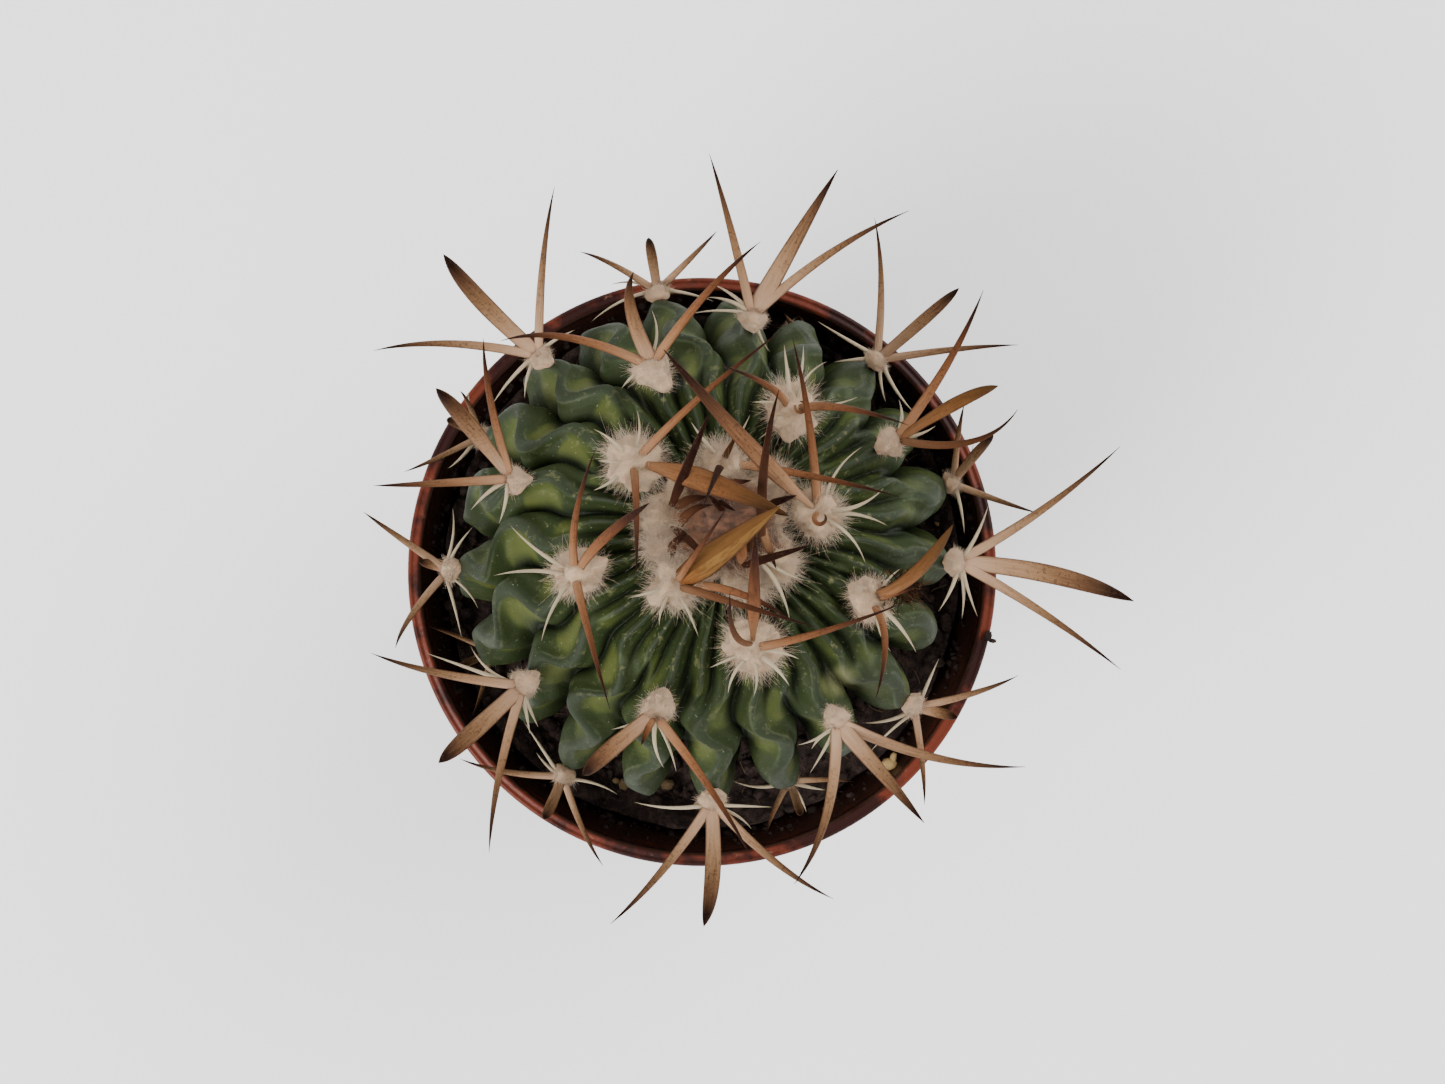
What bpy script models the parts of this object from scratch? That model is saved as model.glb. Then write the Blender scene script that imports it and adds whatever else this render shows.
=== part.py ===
"""A potted brain cactus: a ribbed globe with sprays of spines, in peat, in a round nursery pot.

Metres, +Z up. The origin is the centre of the pot's base, on the surface that it stands on.
Azimuths are in degrees, counter-clockwise from +X as seen from above.
"""
import math

import bmesh
import bpy
import numpy as np
from mathutils import Matrix, Vector
from mathutils.bvhtree import BVHTree

MM = 0.001
GAP = 0.3 * MM

# Pot: a turned profile, with a lip, a collar below it and a tapering wall
POT_HEIGHT = 74 * MM
RIM_RADIUS = 42.5 * MM
LIP_WIDTH = 2.2 * MM
LIP_HEIGHT = 2.0 * MM
COLLAR_RADIUS = 41.2 * MM
COLLAR_BOTTOM = 60 * MM
WALL = 1.3 * MM
SHOULDER_RADIUS = 39.4 * MM
BASE_RADIUS = 29.5 * MM
FLOOR = 2.0 * MM
BASE_ROUND = 1.5 * MM
POT_SEGMENTS = 40
DRAIN_HOLES = 6
DRAIN_RADIUS = 3.0 * MM
DRAIN_CIRCLE = 19 * MM

# Peat
SOIL_LEVEL = 64 * MM
SOIL_CRUMB = 0.7 * MM
SOIL_RINGS = 6
SOIL_SEGMENTS = 36

# Stem: an oblate globe on a neck, leaning a little
STEM_RADIUS = 35.4 * MM
STEM_FLATNESS = 0.78
STEM_CENTRE = (0.4 * MM, 3.1 * MM, POT_HEIGHT + 6 * MM)
LEAN = 9.0
LEAN_AZIMUTH = 50.0
RIBS = 21
YOUNG_RIBS = 34
COLUMNS_PER_RIB = 6
BODY_ROWS = 22
BODY_END = 116.0
NECK_RADIUS = 22 * MM
NECK_DEPTH = 7.5 * MM
LEAN_POLAR = (62.0, 114.0)

# Ribs: their relief, the zone where the young ones give way to the old, and how their crests swing
RIB_DEPTH = 5.6 * MM
YOUNG_DEPTH_SHARE = 0.35
YOUNG_DEPTH_POLAR = (0, 22)
OLD_DEPTH_POLAR = (25, 75)
FOOT_POLAR = (96, BODY_END)
FOOT_FADE = 0.4
ARCH_POWER = 0.62
DIVIDE_POLAR = (30.0, 56.0)
DIVIDE_SKEW = (8.0, 10.0)
WAVE_LENGTH = 17 * MM
WAVE_WIDTH = 5.0
SWING_RUN = (14 * MM, 34 * MM)
SWING_MEAN = 0.62
SWING_SKEW = 0.38
SWING_OF_RIB = 0.45
SWING_OF_CREST = 0.75
CALM_REACH = 3.2 * MM
SWELL = 0.8 * MM
SWELL_REACH = 4 * MM
LUMP = 0.5 * MM
LUMP_POLAR = (30, 70)
SKIN_INSET = 0.5 * MM

# Areoles: numbered outwards from the growing point, a golden angle apart
FIRST_AZIMUTH = 262.6
GOLDEN_ANGLE = 137.508
SPREAD = 2.349
SPREAD_POWER = 1.118
RIBS_PER_STEP = 8
YOUNG_RIBS_PER_STEP = 13
FIRST_SPRAY = 4
LAST_SPRAY = 31

# Spines
BROAD_LENGTH = 25 * MM
BROAD_WIDTH = 2.9 * MM
BROAD_THICKNESS = 0.75 * MM
SLIM_LENGTH = 27 * MM
SLIM_WIDTH = 1.25 * MM
SLIM_THICKNESS = 0.95 * MM
RADIAL_LENGTH = 9 * MM
RADIAL_WIDTH = 0.75 * MM
RADIALS = 3
TAPER_AT = (0, 0.25, 0.6, 1)
TAPER = (0.8, 1, 0.8, 0.06)
UPRIGHT_UP_TO = 12
UPRIGHT_BOW = -10
SPREAD_BOW = 16
OLD_SHORTENING = 0.36
RADIAL_TURN = 70
RADIAL_RISE = 0.5

# Wool: a pad on each areole and one over the growing point
PAD_RADIUS = 2.4 * MM
PAD_FLATNESS = 0.62
PAD_STRETCH = 1.15
CROWN_RADIUS = 4.6 * MM
CROWN_HEIGHT = 1.9 * MM
CROWN_LIFT = 2.3 * MM
CROWN_SPINES = 8
CROWN_SPINE_LENGTH = 6.5 * MM

# Heading and level reach (degrees, mm) of the broad spine and of the two slim ones that flank it,
# with a length where a spine is short or broken, and a bow where it bends against the rest
HEADINGS = {
    4: ((250, 6), (348, 22, 24, 16), (60, 4, 9)),
    5: ((35, 18), (345, 17), (55, 11)),
    6: ((135, 27, 32, -30), (100, 21, 25, 14), (10, 2, 5)),
    7: ((340, 20), (40, 24), (275, 14)),
    8: ((90, 14), (110, 8), (20, 18)),
    9: ((255, 1, 4), (160, 9), (345, 13)),
    10: ((40, 13), (75, 15), (290, 16)),
    11: ((50, 12), (20, 5, 9), (262, 11)),
    12: ((98, 9), (176, 17), (44, 19)),
    13: ((215, 9), (246, 3, 9), (308, 19)),
    14: ((28, 13), (62, 20), (12, 13)),
    15: ((124, 12), (94, 16), (186, 14)),
    16: ((312, 14), (251, 19), (349, 23)),
    17: ((58, 20), (107, 19), (31, 23)),
    18: ((224, 11), (162, 17), (263, 19)),
    19: ((347, 22), (37, 25), (325, 24)),
    20: ((133, 15), (80, 20), (183, 19)),
    21: ((266, 13), (226, 18), (327, 18)),
    22: ((40, 12), (95, 17), (2, 17)),
    23: ((157, 3, 6), (137, 11), (247, 10)),
    24: ((350, 5, 8), (24, 13), (269, 11)),
    25: ((98, 5), (36, 10), (161, 10)),
    26: ((251, 4), (301, 12), (164, 13)),
    27: ((56, 7), (90, 10), (337, 11)),
    28: ((150, 3), (212, 10), (100, 5)),
    29: ((290, 3), (11, 8), (236, 6)),
    30: ((68, 1, 6, 0), (352, 2, 8, 0), (144, 2, 8, 0)),
    31: ((205, 3), (150, 8), (262, 8)),
}


def make_collection(name):
    collection = bpy.data.collections.new(name)
    bpy.context.scene.collection.children.link(collection)
    return collection


def make_material(name, colour, roughness):
    material = bpy.data.materials.new(name)
    material.use_nodes = True
    shader = material.node_tree.nodes["Principled BSDF"]
    shader.inputs["Base Color"].default_value = (*colour, 1)
    shader.inputs["Roughness"].default_value = roughness
    shader.inputs["Metallic"].default_value = 0
    return material


def add_object(name, mesh, collection, material=None):
    obj = bpy.data.objects.new(name, mesh)
    collection.objects.link(obj)
    if material:
        obj.data.materials.append(material)
    return obj


def evaluated_mesh(obj):
    return bpy.data.meshes.new_from_object(obj.evaluated_get(bpy.context.evaluated_depsgraph_get()))


def smooth(mesh, angle=40):
    mesh.shade_smooth()
    mesh.set_sharp_from_angle(angle=math.radians(angle))


def smoothstep(x, low, high):
    t = np.clip((x - low) / (high - low), 0, 1)
    return t * t * (3 - 2 * t)


def turned(name, profile, collection, segments):
    """Turn a profile of (radius, height) points, which runs down the outer side, about Z."""
    mesh = bpy.data.meshes.new(name)
    edges = [(i, i + 1) for i in range(len(profile) - 1)]
    mesh.from_pydata([(r, 0, z) for r, z in profile], edges, [])
    obj = add_object(name, mesh, collection)
    screw = obj.modifiers.new("Turn", "SCREW")
    screw.steps = screw.render_steps = segments
    screw.use_merge_vertices = True
    screw.merge_threshold = 0.01 * MM
    return obj


def cylinder(name, radius, depth, segments, collection):
    """A cutter: an upright cylinder about its own centre."""
    mesh = bpy.data.meshes.new(name)
    bm = bmesh.new()
    bmesh.ops.create_cone(bm, cap_ends=True, segments=segments, radius1=radius, radius2=radius,
                          depth=depth)
    bm.to_mesh(mesh)
    bm.free()
    obj = add_object(name, mesh, collection)
    obj.hide_render = True
    obj.display_type = "WIRE"
    return obj


def pot_inner_radius(z):
    """The wall's inner face: a straight taper from the base to the shoulder, then the collar."""
    taper = BASE_RADIUS + (SHOULDER_RADIUS - BASE_RADIUS) * z / COLLAR_BOTTOM
    return min(taper, COLLAR_RADIUS) - WALL


def make_pot(collection, cutters):
    lip_bottom = POT_HEIGHT - LIP_HEIGHT
    lip_round = 0.35 * LIP_HEIGHT
    profile = [
        (0, FLOOR),
        (pot_inner_radius(FLOOR), FLOOR),
        (pot_inner_radius(COLLAR_BOTTOM), COLLAR_BOTTOM),
        (RIM_RADIUS - LIP_WIDTH, lip_bottom),
        (RIM_RADIUS - LIP_WIDTH, POT_HEIGHT - lip_round),
        (RIM_RADIUS - LIP_WIDTH + lip_round, POT_HEIGHT),
        (RIM_RADIUS - lip_round, POT_HEIGHT),
        (RIM_RADIUS, POT_HEIGHT - lip_round),
        (RIM_RADIUS, lip_bottom),
        (COLLAR_RADIUS, lip_bottom - 0.5 * LIP_HEIGHT),
        (COLLAR_RADIUS - 0.5 * MM, COLLAR_BOTTOM),
        (SHOULDER_RADIUS, COLLAR_BOTTOM),
        (BASE_RADIUS, BASE_ROUND),
        (BASE_RADIUS - BASE_ROUND, 0),
        (0, 0),
    ]
    pot = turned("pot", profile, collection, POT_SEGMENTS)
    pot.data.materials.append(make_material("pot", (0.30, 0.075, 0.04), 0.5))
    for i in range(DRAIN_HOLES):
        hole = cylinder(f"drain_{i}", DRAIN_RADIUS, 4 * FLOOR, 12, cutters)
        turn = math.tau * (i + 0.5) / DRAIN_HOLES
        hole.location = (DRAIN_CIRCLE * math.cos(turn), DRAIN_CIRCLE * math.sin(turn), 0)
    cut = pot.modifiers.new("Drain holes", "BOOLEAN")
    cut.operation = "DIFFERENCE"
    cut.operand_type = "COLLECTION"
    cut.collection = cutters


def crumb_relief(x, y):
    """Gentle uneven ground: four crossing waves of unlike length, between -1 and 1."""
    return (0.4 * np.sin(0.55 * x / MM + 1.0) * np.cos(0.43 * y / MM)
            + 0.3 * np.sin(0.31 * (x + y) / MM + 2.1)
            + 0.3 * np.cos(0.9 * (x - 0.6 * y) / MM + 0.4))


def make_soil(collection, cutters):
    """A plug that fills the pot, with an uneven top and a plain hole for the stem's neck."""
    edge = pot_inner_radius(COLLAR_BOTTOM) - GAP
    bottom = FLOOR + GAP
    profile = [(edge * i / SOIL_RINGS, SOIL_LEVEL) for i in range(SOIL_RINGS)]
    profile += [(edge, SOIL_LEVEL - 1.5 * MM), (edge, COLLAR_BOTTOM),
                (pot_inner_radius(bottom) - GAP, bottom), (0, bottom)]
    turned_plug = turned("soil_turned", profile, collection, SOIL_SEGMENTS)
    mesh = evaluated_mesh(turned_plug)
    bpy.data.objects.remove(turned_plug)
    for vertex in mesh.vertices:
        if vertex.co.z > SOIL_LEVEL - 0.1 * MM:
            vertex.co.z += SOIL_CRUMB * crumb_relief(vertex.co.x, vertex.co.y)
    soil = add_object("soil", mesh, collection, make_material("soil", (0.018, 0.012, 0.010), 0.95))
    reach = 10 * MM
    hole = cylinder("neck_hole", NECK_RADIUS + GAP, NECK_DEPTH + GAP + reach, 42, cutters)
    hole.location = (*STEM_CENTRE[:2], SOIL_LEVEL + 0.5 * (reach - NECK_DEPTH - GAP))
    cut = soil.modifiers.new("Neck hole", "BOOLEAN")
    cut.operation = "DIFFERENCE"
    cut.object = hole


def areole_place(k):
    """Azimuth and polar angle of areole k, both in degrees, in the stem's own frame."""
    return FIRST_AZIMUTH + GOLDEN_ANGLE * k, SPREAD * (k + 0.5) ** SPREAD_POWER


def spiral_turn(polar, ribs, ribs_per_step):
    """How far a set of ribs has turned at a polar angle, so that each passes through its areoles."""
    number = np.maximum(polar / SPREAD, 0) ** (1 / SPREAD_POWER) - 0.5
    return (GOLDEN_ANGLE - 360 * ribs_per_step / ribs) * number


def rib_arch(rib):
    """A rib's cross-section: 1 on the crest, and falling to 0 in a sharp furrow on either side."""
    return np.abs(np.cos(np.pi * rib)) ** ARCH_POWER


def near_areoles(rib, polar, reach):
    """1 at an areole and 0 away from it, by a bell of the given reach along and across the ribs."""
    total = np.zeros(np.broadcast(rib, polar).shape)
    for k in range(LAST_SPRAY + 1):
        _, areole_polar = areole_place(k)
        across = (rib - RIBS_PER_STEP * k + RIBS / 2) % RIBS - RIBS / 2
        across = across * math.tau * STEM_RADIUS / RIBS * np.sin(np.radians(areole_polar))
        along = np.radians(polar - areole_polar) * STEM_RADIUS
        total += np.exp(-(across ** 2 + along ** 2) / (2 * reach ** 2))
    return np.minimum(total, 1)


def lean_turn(points, amount):
    """Turn points about the stem's centre towards its lean, by a share of it for each point."""
    angle = np.radians(LEAN) * amount
    heading = np.array([math.cos(math.radians(LEAN_AZIMUTH)), math.sin(math.radians(LEAN_AZIMUTH))])
    across = points[..., 0] * heading[0] + points[..., 1] * heading[1]
    turned_across = across * np.cos(angle) + points[..., 2] * np.sin(angle)
    height = points[..., 2] * np.cos(angle) - across * np.sin(angle)
    shift = (turned_across - across)[..., None] * heading
    return np.concatenate([points[..., :2] + shift, height[..., None]], axis=-1)


def stem_surface(rib, polar):
    """Points of the ribbed globe. rib counts the old ribs round it, polar is degrees from the apex.

    The old ribs, low on the globe, divide into the more numerous young ones towards the apex. A
    crest swings from side to side as it runs outwards, more on the -X side, and straightens and
    swells at an areole.
    """
    turned = 360 / RIBS * rib + spiral_turn(polar, RIBS, RIBS_PER_STEP)
    young = (turned - spiral_turn(polar, YOUNG_RIBS, YOUNG_RIBS_PER_STEP)) * YOUNG_RIBS / 360
    side = np.radians(turned + FIRST_AZIMUTH)
    aged = smoothstep(polar, DIVIDE_POLAR[0] + DIVIDE_SKEW[0] * np.cos(side),
                      DIVIDE_POLAR[1] + DIVIDE_SKEW[1] * np.cos(side))
    crest = aged * rib_arch(rib) + (1 - aged) * rib_arch(young)
    run = np.radians(polar) * STEM_RADIUS
    calm = 1 - near_areoles(rib, polar, CALM_REACH)
    swing = smoothstep(run, *SWING_RUN) * (SWING_MEAN - SWING_SKEW * np.cos(side)) * calm
    phase = math.tau * run / WAVE_LENGTH + 1.9 * np.sin(side + 0.6) + 1.3 * np.sin(3 * side)
    shift = WAVE_WIDTH * swing * (SWING_OF_RIB * np.sin(phase)
                                  + SWING_OF_CREST * crest * np.sin(phase + 0.9))
    azimuth = np.radians(FIRST_AZIMUTH + turned + shift)
    depth = RIB_DEPTH * (YOUNG_DEPTH_SHARE * smoothstep(polar, *YOUNG_DEPTH_POLAR)
                         + (1 - YOUNG_DEPTH_SHARE) * smoothstep(polar, *OLD_DEPTH_POLAR))
    depth = depth * (1 - FOOT_FADE * smoothstep(polar, *FOOT_POLAR))
    swell = SWELL * near_areoles(rib, polar, SWELL_REACH)
    lumps = LUMP * np.sin(2 * side + 0.13 * polar) * smoothstep(polar, *LUMP_POLAR)
    radius = STEM_RADIUS - SKIN_INSET - depth * (1 - crest) + (swell + lumps) * crest
    flat = np.sin(np.radians(polar)) * radius
    points = np.stack([flat * np.cos(azimuth), flat * np.sin(azimuth),
                       STEM_FLATNESS * np.cos(np.radians(polar)) * radius], axis=-1)
    return lean_turn(points, lean_share(polar)) + np.array(STEM_CENTRE)


def lean_share(polar):
    """The upper globe leans in full, and the neck stands upright."""
    return 1 - smoothstep(polar, *LEAN_POLAR)


def make_stem(collection):
    """A sphere's net of rings laid on the ribbed globe, then drawn in to the neck and closed."""
    columns = RIBS * COLUMNS_PER_RIB
    rib = np.arange(columns) / COLUMNS_PER_RIB
    neck = [(0.4, NECK_RADIUS, 2 * MM), (0, NECK_RADIUS, 0.9 * MM),
            (0, NECK_RADIUS, 1.5 * MM - NECK_DEPTH), (0, 0.93 * NECK_RADIUS, -NECK_DEPTH)]
    rings = BODY_ROWS + len(neck)
    mesh = bpy.data.meshes.new("stem")
    bm = bmesh.new()
    bmesh.ops.create_uvsphere(bm, u_segments=columns, v_segments=rings + 1, radius=1)
    net = np.array([v.co for v in bm.verts])
    polar_step = np.round(np.arccos(np.clip(net[:, 2], -1, 1)) / math.pi * (rings + 1)).astype(int)
    column = np.round(np.arctan2(net[:, 1], net[:, 0]) / math.tau * columns).astype(int) % columns
    last = stem_surface(rib, np.full(columns, BODY_END))
    centre = np.array([STEM_CENTRE[0], STEM_CENTRE[1], 0])
    level = np.array([*STEM_CENTRE[:2], SOIL_LEVEL])
    rows = [stem_surface(rib, np.full(columns, BODY_END * i / BODY_ROWS))
            for i in range(1, BODY_ROWS + 1)]
    flat = last[:, :2] - centre[:2]
    outward = flat / np.linalg.norm(flat, axis=1)[:, None]
    for share, radius, height in neck:
        spread = flat * share + outward * radius * (1 - share)
        ring = np.column_stack([centre[:2] + spread, np.full(columns, level[2] + height)])
        rows.append(ring)
    apex = stem_surface(np.array([0.0]), np.array([0.0]))[0]
    foot = np.array([*centre[:2], level[2] - NECK_DEPTH])
    for vertex, step, place in zip(bm.verts, polar_step, column):
        if step == 0:
            vertex.co = apex
        elif step == rings + 1:
            vertex.co = foot
        else:
            vertex.co = rows[step - 1][place]
    bmesh.ops.triangulate(bm, faces=bm.faces, quad_method="SHORT_EDGE")
    bmesh.ops.recalc_face_normals(bm, faces=bm.faces)
    bm.to_mesh(mesh)
    bm.free()
    return add_object("stem", mesh, collection, make_material("stem", (0.045, 0.12, 0.05), 0.5))


def areole_frame(k):
    """Where areole k sits on its rib's crest, and the directions out of, along and across the rib."""
    _, polar = areole_place(k)
    rib = float(RIBS_PER_STEP * k % RIBS)
    seat, further = stem_surface(np.array([rib, rib]), np.array([polar, polar + 1]))
    azimuth = math.radians(FIRST_AZIMUTH + 360 / RIBS * rib
                           + float(spiral_turn(polar, RIBS, RIBS_PER_STEP)))
    slope = math.radians(polar)
    globe_normal = np.array([[math.sin(slope) * math.cos(azimuth), math.sin(slope) * math.sin(azimuth),
                              math.cos(slope) / STEM_FLATNESS]])
    out = lean_turn(globe_normal, lean_share(polar))[0]
    out /= np.linalg.norm(out)
    along = further - seat
    along -= out * (along @ out)
    along /= np.linalg.norm(along)
    return seat, out, along, np.cross(out, along)


def spine_path(root, heading, reach, length, bow, steps):
    """A spine's centreline: level reach along a heading and the rise that its length leaves, on a
    curve that sets out flatter than its chord by the bow, in degrees, or steeper if negative."""
    reach = min(reach, 0.97 * length)
    level = np.array([math.cos(math.radians(heading)), math.sin(math.radians(heading)), 0])
    climb = math.acos(reach / length)
    start = climb - math.radians(bow)
    middle = root + 0.5 * length * (math.cos(start) * level + math.sin(start) * np.array([0, 0, 1]))
    tip = root + reach * level + length * math.sin(climb) * np.array([0, 0, 1])
    t = np.linspace(0, 1, steps)[:, None]
    return (1 - t) ** 2 * root + 2 * t * (1 - t) * middle + t ** 2 * tip


def spine_mesh(name, path, width, thickness, sides):
    """A spine lofted along its path: a flat section that swells, then tapers to a point."""
    t = np.linspace(0, 1, len(path))
    taper = np.interp(t, TAPER_AT, TAPER)
    run = path[-1] - path[0]
    flat = np.array([-run[1], run[0], 0])
    flat /= np.linalg.norm(flat)
    tangent = np.gradient(path, axis=0)
    face = np.cross(tangent, flat)
    face /= np.linalg.norm(face, axis=1)[:, None]
    turn = math.tau * np.arange(sides) / sides
    rings = (path[:, None, :]
             + 0.5 * width * taper[:, None, None] * np.cos(turn)[None, :, None] * flat
             + 0.5 * thickness * taper[:, None, None] ** 0.6
             * np.sin(turn)[None, :, None] * face[:, None, :])
    mesh = bpy.data.meshes.new(name)
    bm = bmesh.new()
    verts = [[bm.verts.new(point) for point in ring] for ring in rings]
    for lower, upper in zip(verts, verts[1:]):
        for i in range(sides):
            j = (i + 1) % sides
            bm.faces.new((lower[i], lower[j], upper[j], upper[i]))
    bm.faces.new(verts[0])
    bm.faces.new(verts[-1])
    bmesh.ops.triangulate(bm, faces=bm.faces)
    bmesh.ops.recalc_face_normals(bm, faces=bm.faces)
    bm.to_mesh(mesh)
    bm.free()
    return mesh


def cushion_mesh(name, seat, out, along, across, radius, height, segments=7, rings=4):
    """A felt pad: a sphere flattened along the way out and a little longer along the rib."""
    mesh = bpy.data.meshes.new(name)
    bm = bmesh.new()
    bmesh.ops.create_uvsphere(bm, u_segments=segments, v_segments=rings, radius=1)
    bm.to_mesh(mesh)
    bm.free()
    frame = Matrix((across * radius, along * radius * PAD_STRETCH, out * height))
    frame = frame.transposed().to_4x4()
    mesh.transform(Matrix.Translation(Vector(seat)) @ frame)
    return mesh


def fuse(name, core, spines, collection, material):
    """Join spines to their core with one Boolean union, and keep only the joined mesh."""
    parts = bpy.data.collections.new(name + "_spines")
    bpy.context.scene.collection.children.link(parts)
    for i, mesh in enumerate(spines):
        add_object(f"{name}_{i}", mesh, parts)
    body = add_object(name + "_core", core, collection)
    union = body.modifiers.new("Union", "BOOLEAN")
    union.operation = "UNION"
    union.operand_type = "COLLECTION"
    union.collection = parts
    union.solver = "EXACT"
    joined = evaluated_mesh(body)
    bpy.data.objects.remove(body)
    for obj in list(parts.objects):
        bpy.data.objects.remove(obj)
    bpy.data.collections.remove(parts)
    bm = bmesh.new()
    bm.from_mesh(joined)
    bmesh.ops.remove_doubles(bm, verts=bm.verts, dist=0.002 * MM)
    bmesh.ops.dissolve_limit(bm, angle_limit=math.radians(0.5), verts=bm.verts, edges=bm.edges)
    bmesh.ops.triangulate(bm, faces=bm.faces)
    bm.to_mesh(joined)
    bm.free()
    joined.materials.clear()
    return add_object(name, joined, collection, material)


def spray_spines(k, seat, out, along, across, height):
    """The broad spine, the two slim ones and the radial ones of areole k, as (path, size) pairs."""
    youth = float(smoothstep(k, 4, 12))
    age = float(smoothstep(k, 19, 27))
    usual_bow = SPREAD_BOW if k >= UPRIGHT_UP_TO else UPRIGHT_BOW
    root = seat + 0.3 * height * out
    paths = []
    for i, (heading, reach, *rest) in enumerate(HEADINGS[k]):
        broad = i == 0
        usual_length = (BROAD_LENGTH if broad else SLIM_LENGTH) * (1 - OLD_SHORTENING * age)
        length = rest[0] * MM if rest else max(usual_length, 1.04 * reach * MM)
        bow = rest[1] if len(rest) > 1 else usual_bow
        level = np.array([math.cos(math.radians(heading)), math.sin(math.radians(heading)), 0])
        start = root + 0.5 * height * (level - out * (level @ out))
        path = spine_path(start, heading, reach * MM, length, bow, 4)
        size = (BROAD_WIDTH, BROAD_THICKNESS, 4) if broad else (SLIM_WIDTH, SLIM_THICKNESS, 4)
        paths.append((path, size))
    draw = np.random.default_rng(200 + k)
    for i in range(RADIALS):
        turn = math.radians((-1) ** i * (RADIAL_TURN + (30 - 15 * age) * i) + draw.uniform(-12, 12))
        direction = math.cos(turn) * along + math.sin(turn) * across
        rise = RADIAL_RISE - 0.35 * age + draw.uniform(0, 0.12)
        direction = direction * math.cos(rise) + out * math.sin(rise)
        length = RADIAL_LENGTH * draw.uniform(0.75, 1.1) * (0.65 + 0.35 * youth - 0.55 * age)
        t = np.linspace(0.05, 1, 3)[:, None]
        paths.append((seat + t * length * direction, (RADIAL_WIDTH, RADIAL_WIDTH, 3)))
    return paths


def cushion_radius(k):
    """Felt pads fill out as an areole opens, and shrink again as it ages."""
    filling = 0.25 * float(smoothstep(k, 4, 6))
    ageing = 0.375 * float(smoothstep(k, 8, 16)) + 0.21 * float(smoothstep(k, 24, 30))
    return PAD_RADIUS * (1 + filling - ageing)


def seat_height(seat, out, mesh, tree):
    """How far along the way out the mesh moves so that it clears the stem by the gap."""
    lift = 0.0
    for _ in range(40):
        nearest = min((tree.find_nearest(v.co + Vector(out) * lift)[3], v.index) for v in mesh.vertices)
        inside = any(below(tree, v.co + Vector(out) * lift, Vector(out)) for v in mesh.vertices)
        if not inside and nearest[0] > GAP:
            return lift
        lift += 0.1 * MM
    return lift


def below(tree, point, out):
    """Whether the stem's surface lies on the outer side of a point."""
    return tree.ray_cast(point, out)[0] is not None


def make_sprays(collection, stem):
    material = make_material("spines", (0.52, 0.36, 0.22), 0.6)
    bm = bmesh.new()
    bm.from_mesh(stem.data)
    tree = BVHTree.FromBMesh(bm)
    bm.free()
    for k in range(FIRST_SPRAY, LAST_SPRAY + 1):
        name = f"areole_{k:02d}"
        seat, out, along, across = areole_frame(k)
        radius = cushion_radius(k)
        height = PAD_FLATNESS * radius
        probe = cushion_mesh(name, seat, out, along, across, radius, height)
        seat = seat + out * seat_height(seat, out, probe, tree)
        bpy.data.meshes.remove(probe)
        core = cushion_mesh(name, seat, out, along, across, radius, height)
        spines = [spine_mesh(f"{name}_{i}", path, *size) for i, (path, size)
                  in enumerate(spray_spines(k, seat, out, along, across, height))]
        fuse(name, core, spines, collection, material)


def make_crown(collection):
    """The wool over the growing point, with the youngest spines standing in it."""
    _, out, along, across = areole_frame(0)
    apex = stem_surface(np.array([0.0]), np.array([0.0]))[0]
    core = cushion_mesh("crown", apex + out * CROWN_LIFT, out, along, across, CROWN_RADIUS,
                        CROWN_HEIGHT, 12, 6)
    spines = []
    draw = np.random.default_rng(2)
    for i in range(CROWN_SPINES):
        heading = FIRST_AZIMUTH + GOLDEN_ANGLE * i
        level = np.array([math.cos(math.radians(heading)), math.sin(math.radians(heading)), 0])
        root = apex + out * 2.0 * MM + level * (1.0 + 0.32 * i) * MM
        length = CROWN_SPINE_LENGTH + 0.2 * i * MM
        path = spine_path(root, heading + 180, draw.uniform(0.5, 2) * MM, length, -14, 4)
        broad = i % 3 == 0
        width = BROAD_WIDTH * 0.75 if broad else SLIM_WIDTH
        thickness = BROAD_THICKNESS if broad else SLIM_THICKNESS
        spines.append(spine_mesh(f"crown_{i}", path, width, thickness, 4))
    fuse("crown", core, spines, collection, make_material("wool", (0.75, 0.66, 0.58), 0.9))


def main():
    for obj in list(bpy.data.objects):
        bpy.data.objects.remove(obj)
    parts = make_collection("Potted brain cactus")
    make_pot(parts, make_collection("Drain cutters"))
    make_soil(parts, make_collection("Neck cutter"))
    stem = make_stem(parts)
    make_crown(parts)
    make_sprays(parts, stem)
    for obj in parts.objects:
        smooth(obj.data)


main()
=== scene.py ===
"""The looks of a potted brain cactus: a ribbed globe with wool and sprays of spines, in peat, in a pot.

Metres, +Z up. The origin is the centre of the pot's base. Azimuths are in degrees, counter-clockwise
from +X as seen from above. A polar angle is in degrees from the globe's growing point, and a rib
number counts the old ribs round the globe.
"""
import itertools
import math

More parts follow.
